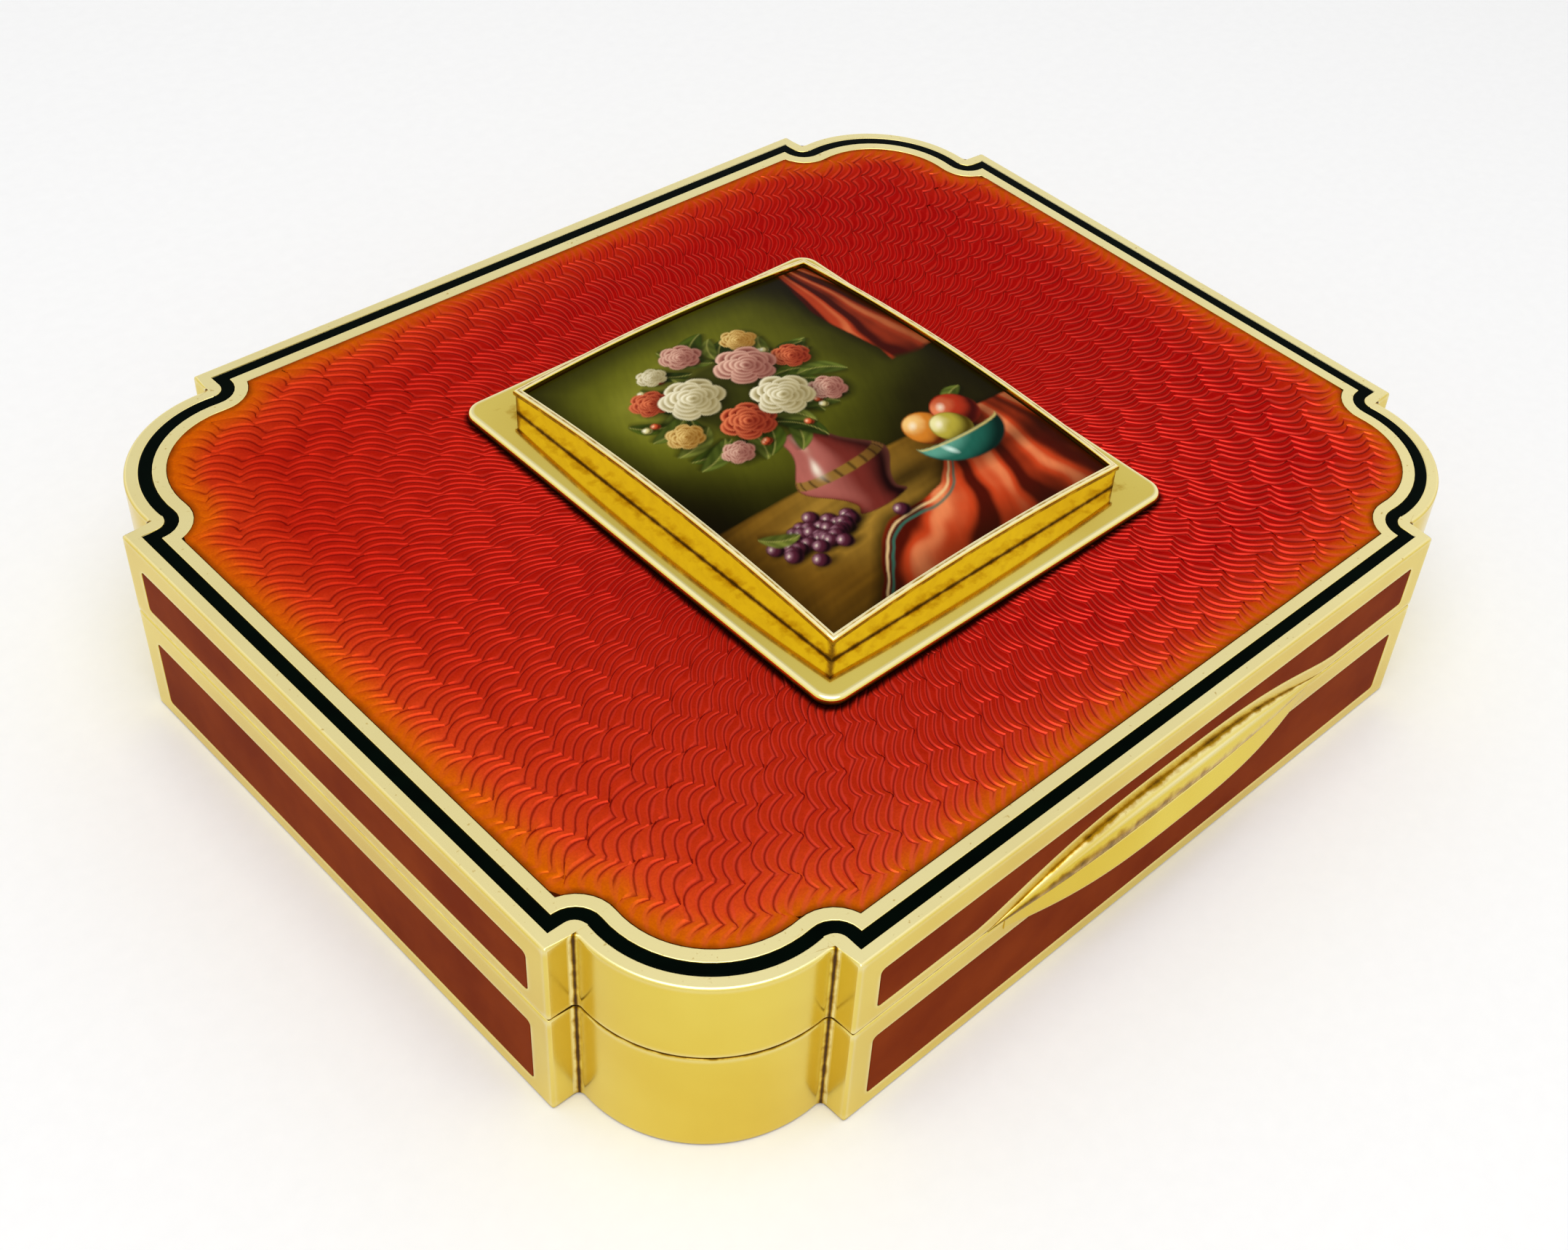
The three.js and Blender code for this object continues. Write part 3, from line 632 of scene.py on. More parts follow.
def thumbpiece():
    """A half-oval bead on the lid, cut off level at the seam, over a ledge on the base that slopes out to
    a rounded nose."""
    shares = np.sin(np.linspace(-math.pi / 2, math.pi / 2, LENGTH_STEPS + 1))
    bead_half, bead_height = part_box("thumb_bead")[1].x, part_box("thumb_bead")[1].z - LID_LOW
    bead_proud = -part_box("thumb_bead")[0].y - HALF_WIDTH
    angles = np.linspace(BEAD_FOOT, math.pi, BEAD_STEPS + 1)
    rise = (math.cos(BEAD_FOOT) - np.cos(angles)) / (math.cos(BEAD_FOOT) + 1)
    bead = np.vstack(([(0, 0)], np.column_stack((bead_proud * np.sin(angles), bead_height * rise))))
    rings, soiling_and_painted_light = [], []
    # Soiling and painted shade darken the bead's upper side towards the crease under the lid's wall
    in_crease = CREASE_SOILING_AND_SHADE * np.clip((angles - CREASE_FROM) / (math.pi - CREASE_FROM), 0, 1) ** 1.3
    # A painted highlight along the bead's middle, given below 0
    painted_highlight = np.exp(-((angles - HIGHLIGHT_AT) / HIGHLIGHT_SOFT) ** 2)
    for share in shares:
        out, up = (bead * taper(share)).T
        along = np.full(len(bead), bead_half * share)
        rings.append(np.column_stack((along, -HALF_WIDTH - out, LID_LOW + up)))
        # Painted shade on the bead's lower side over the ledge, widest at the left end
        shaded_to = SHADED_TO - SHADE_SLANT * share
        by_ledge = np.clip((shaded_to - angles) / SHADE_SOFT, 0, 1) * (LEDGE_SHADE - LEDGE_SHADE_FALL * share)
        soiling_and_painted_light += [1, *(np.maximum(in_crease, by_ledge) - painted_highlight * (1 - abs(share - BRIGHTEST)))]
    gilt_piece("thumb_bead", [ringed(rings)], soiling_and_painted_light)

    ledge_half, ledge_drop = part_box("thumb_ledge")[1].x, BASE_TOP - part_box("thumb_ledge")[0].z
    ledge_proud = -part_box("thumb_ledge")[0].y - HALF_WIDTH
    slope = math.degrees(math.atan2(ledge_drop - LEDGE_NOSE, ledge_proud - LEDGE_TOP))
    ledge = np.vstack((
        [(0, 0)],
        arc((LEDGE_TOP - LEDGE_EDGE, -LEDGE_EDGE), LEDGE_EDGE, 90, 90 - slope, 6),
        arc((ledge_proud - LEDGE_NOSE, LEDGE_NOSE - ledge_drop), LEDGE_NOSE, 90 - slope, -90, 14),
        [(0, -ledge_drop)],
    ))
    rings = []
    for share in shares:
        drop = LEDGE_END_DROP + (1 - LEDGE_END_DROP) * math.sqrt(taper(share))
        out, up = ledge[:, 0] * taper(share), ledge[:, 1] * drop
        along = np.full(len(ledge), ledge_half * share)
        rings.append(np.column_stack((along, -HALF_WIDTH - out, BASE_TOP + up)))
    gilt_piece("thumb_ledge", [ringed(rings)])


def dome(x, y):
    """Height of the dome that the rim's top follows."""
    return RIM_TOP - (x ** 2 + y ** 2) / (2 * DOME_RADIUS)


def bezel():
    """A mitred collar with a rounded rim that follows the dome. Its profile is out from the collar, a height
    that counts from the dome or, at the foot, from the underside of the box, and how much darker it is: old
    soiling at the foot, painted shade round the rim, and a darker painted reflection along the rim's top."""
    outer = np.array(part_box("plaque_bezel")[1].xy) - RIM_OVERHANG
    round_over = arc((0, 0), RIM_EDGE, 0, 90, 5)
    inner_edge = RIM_OVERHANG - RIM_WIDTH
    lip = RIM_OVERHANG - RIM_EDGE
    # Painted shade on the rim's outer face below its lip, and a darker painted reflection along its top
    profile = [(lip + out, up - RIM_EDGE, LIP_SHADE * (up < NEAR)) for out, up in round_over]
    profile.append((RIM_OVERHANG - RIM_WIDTH / 2, 0, RIM_SHADE_AND_REFLECTION))
    profile += [(inner_edge + RIM_EDGE - up, out - RIM_EDGE, 0) for out, up in round_over]
    # Painted shade inside the rim by the painting, soiling at the collar's foot, painted shade under the rim
    profile += [
        (inner_edge, -RIM_HEIGHT, 1), (-BEZEL_WALL, -RIM_HEIGHT, 1), (-BEZEL_WALL, FLANGE_TOP, 0),
        (0, FLANGE_TOP, 1), (0, FLANGE_TOP + FOOT_GRIME / 2, FOOT_STAIN), (0, FLANGE_TOP + FOOT_GRIME, 0),
        (0, -RIM_HEIGHT, 0), (RIM_OVERHANG, -RIM_HEIGHT, RIM_SHADE_AND_REFLECTION),
    ]
    rings, soiling_and_painted_light = [], []
    for quarter in range(4):
        for share in np.linspace(-1, 1, LENGTH_STEPS // 2 + 1)[:-1]:
            ring = []
            soiling_and_painted_light += [max(darkening, MITRE_GRIME * (share == -1 and out == 0)) for out, _, darkening in profile]
            for out, up, _ in profile:
                half_x, half_y = outer + out
                x, y = ((share * half_x, -half_y), (half_x, share * half_y),
                        (-share * half_x, half_y), (-half_x, -share * half_y))[quarter]
                ring.append((x, y, up if up >= FLANGE_TOP else dome(x, y) + up))
            rings.append(np.array(ring))
    gilt_piece("plaque_bezel", [ringed(rings, looped=True)], soiling_and_painted_light)


def flange():
    """A flat polished plate with a bullnose edge, and the posts that hold it through the lid. Old soiling and
    painted shade lie under the bullnose, a painted highlight runs along the edge, and painted shade runs
    round the collar."""
    low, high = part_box("plaque_flange")[0].z, FLANGE_TOP
    rings, soiling_and_painted_light = [], []
    border = FLANGE_HALF[0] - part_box("plaque_bezel")[1].x + RIM_OVERHANG
    levels = rounded_wall(LID_TOP, high, FLANGE_EDGE, FLANGE_EDGE)
    levels += [(EDGE_HIGHLIGHT_REACH, high), (border / 2, high), (border, high)]
    for inset, z in levels:
        radius = max(FLANGE_CORNER - inset, NEAR)
        x, y = (half - inset - radius for half in FLANGE_HALF)
        plan = np.vstack([arc((x * sx, y * sy), radius, start, start + 90, 12)
                          for sx, sy, start in ((1, 1, 0), (-1, 1, 90), (-1, -1, 180), (1, -1, 270))])
        rings.append(raised(plan, z))
        # Soiling and painted shade below the bullnose; painted shade by the collar; a painted edge highlight
        below_edge = np.interp((z - LID_TOP) / (high - LID_TOP), (0.5, 0.75), (1, 0))
        wear_and_highlight = z > high - FLANGE_EDGE / 3 and inset <= FLANGE_EDGE
        soiling_and_painted_light += [below_edge + FLANGE_SHADE_BY_COLLAR * (inset == border) - FLANGE_EDGE_HIGHLIGHT * wear_and_highlight] * len(plan)
    solids = [ringed(rings)]
    for nut in sorted(node for node in NODES if node.startswith("flange_nut")):
        centre = sum(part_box(nut), Vector()) / 2
        plan = arc(centre, POST_RADIUS, 0, 360, 24)[:-1]
        heights = (low, LID_TOP + 0.5 * (high - LID_TOP))
        solids.append(ringed([raised(plan, z) for z in heights]))
    gilt_piece("plaque_flange", solids, soiling_and_painted_light)


# Engraved red field

def casing_outline(inset):
    """The casing's plan moved inwards past its corner steps, as points in order round the box."""
    lost = math.degrees(math.asin(1 - CORNER_STEP / inset))
    past = LOBE_PAST_QUARTER
    corner = np.vstack((
        arc((HALF_LENGTH - CORNER_STEP, ARRIS_Y), inset, -90 - lost, -180 - past, 12),
        arc((LOBE_X, LOBE_Y), LOBE_RADIUS - inset, -past, 90 + past, 40),
        arc((ARRIS_X, HALF_WIDTH - CORNER_STEP), inset, -90 + past, -180 + lost, 12),
    ))
    return np.vstack((corner, (corner * (-1, 1))[::-1], corner * (-1, -1), (corner * (1, -1))[::-1]))


def engraved_field_tree():
    """A closed ring of enamel between the plaque's frame and a border wall. Scalloped cuts run out from
    the middle like rays, and groups of rays alternate by part of a scallop."""
    tree = bpy.data.node_groups.new("engraved_field", "GeometryNodeTree")
    sockets = {
        "Border": "Geometry", "Rays": "Int", "Steps Across Ray": "Int", "Steps Along Ray": "Int",
        "Rays In Group": "Int", "Group Shift": "Float", "Scallop": "Float", "Swing": "Float",
        "Cut Slope": "Float", "Cut Half Width": "Float", "Cut Fade": "Float", "Inner X": "Float",
        "Inner Y": "Float", "Top": "Float", "Low": "Float", "Enamel": "Material",
    }
    for name, kind in sockets.items():
        tree.interface.new_socket(name, in_out="INPUT", socket_type=f"NodeSocket{kind}")
    tree.interface.new_socket("Field", in_out="OUTPUT", socket_type="NodeSocketGeometry")
    add = partial(put, tree)
    given = add("NodeGroupInput").outputs

    # A strip of quads: one column of vertices for each step across a ray, rows from the inner foot over the
    # top to the outer foot and back underneath
    columns = add("Math", [given["Rays"], given["Steps Across Ray"], 1], "MULTIPLY_ADD")
    rows = add("Math", [given["Steps Along Ray"], 4], "ADD")
    grid = add("GeometryNodeMeshGrid", [1, 1, columns, rows])
    across = add("SeparateXYZ", [grid.outputs["UV Map"]])
    ray = add("Math", [across.outputs["X"], given["Rays"]], "MULTIPLY")
    last_row = add("Math", [rows, 1], "SUBTRACT")
    row = add("Math", [across.outputs["Y"], last_row], "MULTIPLY")
    outer_row = add("Math", [given["Steps Along Ray"], 1], "ADD")
    along = add("MapRange", [row, 1.0, outer_row, 0.0, 1.0])
    before_last = add("Math", [last_row, 0.5], "SUBTRACT")
    back_again = add("Math", [row, before_last], "LESS_THAN")
    along = add("Math", [along, back_again], "MULTIPLY")
    over_foot = add("Math", [row, 0.5], "GREATER_THAN")
    past_edge = add("Math", [outer_row, 0.5], "ADD")
    before_edge = add("Math", [row, past_edge], "LESS_THAN")
    on_top = add("Math", [over_foot, before_edge], "MULTIPLY")

    def place_at(ray_number):
        """The direction of a ray, and how far out this row's vertex lies on it."""
        turn = add("Math", [ray_number, given["Rays"]], "DIVIDE")
        angle = add("Math", [turn, math.tau], "MULTIPLY")
        cosine = add("Math", [angle], "COSINE")
        sine = add("Math", [angle], "SINE")
        direction = add("CombineXYZ", [cosine, sine])
        centre = add("CombineXYZ", {"Z": given["Top"]})
        hit = add("GeometryNodeRaycast", {
            "Target Geometry": given["Border"], "Source Position": centre,
            "Ray Direction": direction, "Ray Length": 1.0,
        })
        share_x = add("Math", [add("Math", [cosine], "ABSOLUTE"), given["Inner X"]], "DIVIDE")
        share_y = add("Math", [add("Math", [sine], "ABSOLUTE"), given["Inner Y"]], "DIVIDE")
        share = add("Math", [share_x, share_y], "MAXIMUM")
        inner = add("Math", [1.0, share], "DIVIDE")
        radius = add("MapRange", [along, 0.0, 1.0, inner, hit.outputs["Hit Distance"]])
        return direction, radius

    # Of the three columns in each ray's pitch one lies in the cut, and the others move to the cut's edges
    middle = add("Math", [ray, 1 / 6], "ADD")
    number = add("Math", [middle], "FLOOR")
    part = add("Math", [middle], "FRACT")
    past_cut = add("Math", [part, 1 / 3], "GREATER_THAN")
    past_flat = add("Math", [part, 2 / 3], "GREATER_THAN")
    to_next = add("Math", [1.0, given["Cut Half Width"]], "SUBTRACT")
    edge = add("Mix", [past_flat, given["Cut Half Width"], to_next])
    past_ray = add("Math", [edge, past_cut], "MULTIPLY")

    # Each ray swings sideways in scallops, and alternate groups start part of a scallop further out. Between
    # two rays a vertex swings with both
    scallops = add("Math", [place_at(ray)[1], given["Scallop"]], "DIVIDE")

    def bow(ray_number):
        """How far a ray is swung aside at this distance, from 0 to 1."""
        group = add("Math", [ray_number, given["Rays In Group"]], "DIVIDE")
        group = add("Math", [group], "FLOOR")
        odd = add("Math", [group, 2.0], "FLOORED_MODULO")
        begun = add("Math", [odd, given["Group Shift"], scallops], "MULTIPLY_ADD")
        share = add("Math", [begun], "FRACT")
        rest = add("Math", [1.0, share], "SUBTRACT")
        hump = add("Math", [share, rest], "MULTIPLY")
        return add("Math", [hump, 4.0], "MULTIPLY")

    next_ray = add("Math", [number, 1.0], "ADD")
    bowed = add("Mix", [past_ray, bow(number), bow(next_ray)])
    swing = add("Math", [bowed, given["Swing"]], "MULTIPLY")
    drawn = add("Math", [number, past_ray], "ADD")
    direction, radius = place_at(add("Math", [drawn, swing], "SUBTRACT"))
    level = add("VectorMath", {"Vector": direction, "Scale": radius}, "SCALE")

    # The cuts are V-shaped, and run out just before the border
    top_point = add("VectorMath", [level, add("CombineXYZ", {"Z": given["Top"]})], "ADD")
    border = add("GeometryNodeProximity", {"Geometry": given["Border"], "Sample Position": top_point})
    rim = border.outputs["Distance"]
    from_next = add("Math", [1.0, past_ray], "SUBTRACT")
    aside = add("Math", [past_ray, from_next], "MINIMUM")
    vee = add("MapRange", [aside, 0.0, given["Cut Half Width"], 1.0, 0.0])
    fade = add("MapRange", [rim, 0.0, given["Cut Fade"], 0.0, 1.0])
    cut = add("Math", [vee, fade], "MULTIPLY")
    cut = add("Math", [cut, on_top], "MULTIPLY")
    ground = add("MapRange", [on_top, 0.0, 1.0, given["Low"], given["Top"]])
    turn = add("Math", [math.tau, given["Rays"]], "DIVIDE")
    pitch = add("Math", [radius, turn], "MULTIPLY")
    half_width = add("Math", [pitch, given["Cut Half Width"]], "MULTIPLY")
    depth = add("Math", [half_width, given["Cut Slope"]], "MULTIPLY")
    sunk = add("Math", [cut, depth], "MULTIPLY")
    height = add("Math", [ground, sunk], "SUBTRACT")
    point = add("VectorMath", [level, add("CombineXYZ", {"Z": height})], "ADD")
    shaped = add("GeometryNodeSetPosition", {"Geometry": grid.outputs["Mesh"], "Position": point})
    rim_mm = add("Math", [rim, MM], "DIVIDE")
    kept = add("GeometryNodeStoreNamedAttribute", {"Geometry": shaped, "Name": "rim", "Value": rim_mm})
    kept = add("GeometryNodeStoreNamedAttribute", {"Geometry": kept, "Name": "cut", "Value": cut})
    closed = add("GeometryNodeMergeByDistance", {"Geometry": kept, "Distance": WELD})
    whole = add("GeometryNodeRealizeInstances", {"Geometry": closed})
    dressed_field = add("GeometryNodeSetMaterial", {"Geometry": whole, "Material": given["Enamel"]})
    add("NodeGroupOutput", {"Field": dressed_field})
    return tree


def engraved_field():
    points = casing_outline(FIELD_INSET)
    count = len(points)
    wall = [(x, y, LID_TOP + side * MM) for side in (-1, 1) for x, y in points]
    strips = [(i, (i + 1) % count, count + (i + 1) % count, count + i) for i in range(count)]
    field = new_piece("engraved_red_field", wall, strips)
    tree = engraved_field_tree()
    modifier = field.modifiers.new("engraved_field", "NODES")
    modifier.node_group = tree
    values = {
        "Rays": RAYS, "Steps Across Ray": STEPS_ACROSS_RAY, "Steps Along Ray": STEPS_ALONG_RAY,
        "Rays In Group": RAYS_IN_GROUP, "Group Shift": GROUP_SHIFT, "Scallop": SCALLOP,
        "Swing": SCALLOP_SWING, "Cut Slope": CUT_SLOPE, "Cut Half Width": CUT_HALF_WIDTH,
        "Cut Fade": CUT_FADE,
        "Inner X": FLANGE_HALF[0] - UNDER_FLANGE, "Inner Y": FLANGE_HALF[1] - UNDER_FLANGE,
        "Top": LID_TOP, "Low": FIELD_LOW, "Enamel": RED,
    }
    for socket in tree.interface.items_tree:
        if socket.in_out == "INPUT" and socket.name in values:
            modifier[socket.identifier] = values[socket.name]
    settle(field)
    smooth(field, CUT_SHARP)
    stand_for(field, "lid_field_enamel")


# Painted plaque: a still life of flowers, fruit and cloth, in the colours of old enamel painting

def painted_plaque():
    half_x, half_y = PLAQUE_HALF
    below_rim = RIM_TOP - PLAQUE_TOP
    across = int(2 * half_x / PAINT_STEP)
    along = int(2 * half_y / PAINT_STEP)
    x, y = np.meshgrid(np.linspace(-half_x, half_x, across), np.linspace(-half_y, half_y, along))
    top = np.column_stack((x.ravel(), y.ravel(), dome(x, y).ravel() - below_rim))
    thickness = dome(half_x, half_y) - below_rim - PLAQUE_LOW
    left = [i * across for i in range(along)]
    right = [i * across + across - 1 for i in range(along)]
    under_left = [len(top) + i for i in range(along)]
    under_right = [len(top) + along + i for i in range(along)]
    under = np.vstack((top[left], top[right])) - (0, 0, thickness)
    faces = []
    for i in range(along - 1):
        faces += [(i * across + j, i * across + j + 1, (i + 1) * across + j + 1, (i + 1) * across + j)
                  for j in range(across - 1)]
        faces.append((left[i + 1], under_left[i + 1], under_left[i], left[i]))
        faces.append((right[i], under_right[i], under_right[i + 1], right[i + 1]))
        faces.append((under_left[i], under_left[i + 1], under_right[i + 1], under_right[i]))
    faces.append((*range(across - 1, -1, -1), under_left[0], under_right[0]))
    faces.append((*range((along - 1) * across, along * across), under_right[-1], under_left[-1]))
    plaque = new_piece("painted_plaque", np.vstack((top, under)), faces)
    colours = still_life(x / MM, y / MM).reshape(-1, 3)
    colours = np.vstack((colours, np.tile(linear("#3a2c10")[:3], (len(under), 1))))
    paint = plaque.data.color_attributes.new("paint", "FLOAT_COLOR", "POINT")
    opaque = np.column_stack((colours, np.ones(len(colours))))
    paint.data.foreach_set("color", opaque.astype(np.float32).ravel())
    smooth(plaque)
    plaque.data.materials.append(PAINTED)
    stand_for(plaque, "plaque")


def still_life(x, y):
    """The picture's colours at points in millimetres from the middle of the plaque. The light in it falls
    from the upper left."""
    draws = np.random.default_rng(PAINT_SEED)
    picture = np.zeros((*x.shape, 3))

    def lay(colour, share):
        """Covers a share of the picture with a colour."""
        picture[:] += (np.array(linear(colour)[:3]) - picture) * np.clip(share, 0, 1)[..., None]

    def ramp(value, low, high):
        """A soft step from 0 to 1."""
        share = np.clip((value - low) / (high - low), 0, 1)
        return share * share * (3 - 2 * share)

    def turned(dx, dy, turn):
        """Lengths along a direction and across it."""
        turn = math.radians(turn)
        return dx * math.cos(turn) + dy * math.sin(turn), dy * math.cos(turn) - dx * math.sin(turn)

    def bulge(u, v=0.0):
        """Height of a ball of radius 1 over its middle."""
        return np.sqrt(np.clip(1 - u * u - v * v, 0, 1))

    def marks(length, width, turn):
        """Soft marks from 0 to 1, like those of a brush drawn one way."""
        along, aside = turned(x, y, turn)
        u, v = along / length + 90, aside / width + 900
        table = draws.random((97, 89))
        i, j = np.floor(u).astype(int), np.floor(v).astype(int)
        a, b = ramp(u - i, 0, 1), ramp(v - j, 0, 1)
        corner = [[table[(i + p) % 97, (j + q) % 89] for q in (0, 1)] for p in (0, 1)]
        low = corner[0][0] * (1 - b) + corner[0][1] * b
        high = corner[1][0] * (1 - b) + corner[1][1] * b
        return low * (1 - a) + high * a

    def clouds(size):
        """Marks of three sizes laid over each other, from -0.5 to 0.5."""
        return sum(marks(size / k, size / k, 50 * k) / k for k in (1, 2, 4)) / 1.75 - 0.5

    def oval(cx, cy, rx, ry, turn=0.0):
        """Distance outside an oval, in millimetres, less than 0 inside."""
        u, v = turned(x - cx, y - cy, turn)
        return (np.hypot(u / rx, v / ry) - 1) * min(rx, ry)

    def inside(distance, edge=0.3):
        """1 inside a shape and 0 outside it, soft across its edge."""
        return np.clip(0.5 - distance / edge, 0, 1)

    def model(shape, lit, dark, middle, light):
        """Paints a form from its dark side to its light side."""
        lay(dark, shape)
        lay(middle, shape * ramp(lit, -0.1, 0.62))
        lay(light, 0.85 * shape * ramp(lit, 0.6, 1.0))

    def ball(cx, cy, rx, ry, dark, middle, light, bloom=0.0):
        """A round fruit with its cast shadow, a little light from below, and a highlight."""
        lay("#0e0802", 0.8 * inside(oval(cx + 0.4 * rx, cy - 0.72 * ry, 1.2 * rx, 0.5 * ry), 0.8 * rx))
        u, v = (x - cx) / rx, (y - cy) / ry
        depth = bulge(u, v)
        lit = 0.62 * depth - 0.5 * u + 0.6 * v + bloom * clouds(1.1 * rx)
        shape = inside(oval(cx, cy, rx, ry))
        model(shape, lit, dark, middle, light)
        lay(middle, 0.4 * shape * ramp(-lit, 0.1, 0.7) * (1 - depth))
        lay("#fff4d8", 0.8 * inside(oval(cx - 0.4 * rx, cy + 0.42 * ry, 0.16 * rx, 0.1 * rx, 40), 0.24 * rx))

    def leaf(cx, cy, length, turn, dark, light):
        """A curved leaf, lighter on one side of its midrib."""
        along, aside = turned(x - cx, y - cy, turn)
        along = along / (0.5 * length)
        aside = aside - 0.12 * length * (1 - along ** 2)
        half = 0.2 * length * np.clip(1 - along ** 2, 0, 1) ** 0.8
        shape = inside(np.abs(aside) - half) * (np.abs(along) < 1)
        lay("#0a0a02", 0.55 * inside(np.abs(aside + 0.4) - half, 0.8) * (np.abs(along) < 1))
        lay(dark, shape)
        lay(light, shape * (0.35 + 0.5 * (aside > 0)) * (0.75 + 0.25 * np.sin(9 * along + 5 * np.abs(aside))))
        lay("#b4ac5a", 0.6 * shape * inside(np.abs(aside) - 0.05, 0.22))

    def rose(cx, cy, size, dark, middle, light):
        """Six rounds of petals, each with a dark hollow and a light lip, the lightest towards the light."""
        lay("#0c0a02", 0.7 * inside(oval(cx + 0.35, cy - 0.5, size, 0.95 * size), 0.5 * size))
        radius = np.hypot(x - cx, (y - cy) / 0.92) / size * (1 + 0.16 * clouds(0.7 * size))
        bearing = np.arctan2(y - cy, x - cx)
        towards = 0.5 + 0.5 * np.cos(bearing - math.radians(130))
        for round_number in range(6):
            petals = (6, 5, 5, 4, 3, 2)[round_number]
            reach = 1 - 0.16 * round_number
            lobes = np.abs(np.cos(0.5 * petals * bearing + draws.uniform(0, math.tau)))
            lip = reach * (0.8 + 0.2 * lobes ** 0.6)
            deep = np.clip((lip - radius) / 0.26, 0, 1)
            shape = inside((radius - lip) * size, 0.22)
            lay(dark, 0.92 * shape)
            lay(middle, shape * (1 - 0.85 * deep) * (0.45 + 0.55 * towards))
            lay(light, shape * np.exp(-(deep / 0.34) ** 2) * (0.12 + 0.8 * towards ** 1.5))

    def drape(shape, gather_x, gather_y, folds, begin, dark, middle, light):
        """Cloth in folds that fan out from the place where it is gathered."""
        bearing = np.arctan2(x - gather_x, gather_y - y)
        wave = folds * bearing + 5.2 * clouds(11) + begin
        lit = 0.42 + 0.42 * np.cos(wave) + 0.16 * np.sin(2.3 * wave + 1) + 0.5 * clouds(7)
        lay(dark, shape)
        lay(middle, shape * ramp(lit, 0.05, 0.66))
        lay(light, 0.75 * shape * ramp(lit, 0.6, 1.05))

    # Wall with a glow of light in its upper left
    lay("#1e1a04", np.ones_like(x))
    glow = np.hypot((x + 8) / 1.15, y - 13) + 9 * clouds(13)
    lay("#75761c", 0.95 * ramp(-glow, -25, -2))
    lay("#a8a244", 0.45 * ramp(-glow, -11, 0))
    lay("#0c0a02", 0.85 * ramp(np.hypot(x + 21, y + 9) + 5 * clouds(8), 15, 1))
    # Table
    table = inside(y + 8.6 + 0.04 * x, 0.5)
    lay("#6e4a10", table)
    lay("#b98d34", 0.75 * table * ramp(-np.hypot((x + 6) / 1.6, y + 14) + 3 * clouds(6), -11, -1))
    lay("#3a2206", 0.4 * table * marks(8, 0.6, 3))
    # Red cloth laid over the table's right end and hanging over the front
    fall = y + 15.2 - 0.55 * (x - 2) + 1.8 * np.sin(x / 3.1 + 0.6) + 2.2 * clouds(6)
    cloth = inside(np.maximum(fall, y + 9.2), 0.35)
    lay("#140a02", 0.7 * inside(np.maximum(fall - 1.1, y + 9.0), 1.6))
    drape(cloth, 17, 6, 22, 0.5, "#4a0e04", "#c2401a", "#f0905a")
    lay("#ecc88c", 0.85 * cloth * inside(np.abs(fall + 0.75) - 0.16, 0.25))
    lay("#2c6a58", 0.8 * cloth * inside(np.abs(fall + 1.5) - 0.2, 0.25))
    # Curtain drawn to the upper right corner
    edge = x - 15.6 + 0.012 * (26 - y) ** 1.6 - 0.9 * np.sin(y / 3.2) + clouds(5)
    curtain = inside(-edge, 0.4) * inside(3 - y + 2.2 * clouds(4), 0.8)
    lay("#0c0602", 0.6 * inside(-edge - 0.9, 1.8) * inside(3 - y, 1.6))
    drape(curtain, 19, 31, 26, 0.0, "#3c0a04", "#a8381a", "#e07a48")
    # Glazed jug
    jug_x, jug_y = -4.0, -8.6
    lay("#100802", 0.8 * inside(oval(jug_x + 4.6, jug_y - 5.2, 8.4, 1.7), 2.6))
    up = y - jug_y
    half = 2.5 + 3.8 * np.exp(-((up - 0.2) / 3.4) ** 2) + 0.9 * np.exp(-((up + 6.4) / 0.7) ** 2)
    across = (x - jug_x) / half
    round_side = bulge(across)
    jug = inside(np.abs(x - jug_x) - half) * inside(-6.2 - 0.7 * round_side - up) * inside(up - 8)
    lit = 0.62 * round_side - 0.62 * across + 0.045 * up + 0.1
    model(jug, lit, "#1a0606", "#6e2820", "#b4665a")
    lay("#8a4a3c", 0.3 * jug * ramp(across, 0.75, 1.0))
    band = jug * inside(np.abs(up - 1.2 + 1.3 * round_side) - 0.7, 0.2)
    lay("#8a6a24", 0.85 * band * (0.35 + 0.65 * ramp(lit, 0, 0.7)))
    lay("#1c0806", 0.7 * band * inside(np.abs(np.arcsin(np.clip(across, -1, 1)) % 0.32 - 0.16) - 0.035, 0.05))
    lay("#fff0d8", 0.85 * jug * np.exp(-((across + 0.46) / 0.09) ** 2 - ((up - 1.9) / 1.3) ** 2))
    lay("#f0d0b0", 0.5 * jug * np.exp(-((across + 0.4) / 0.14) ** 2 - ((up - 6.2) / 1.4) ** 2))
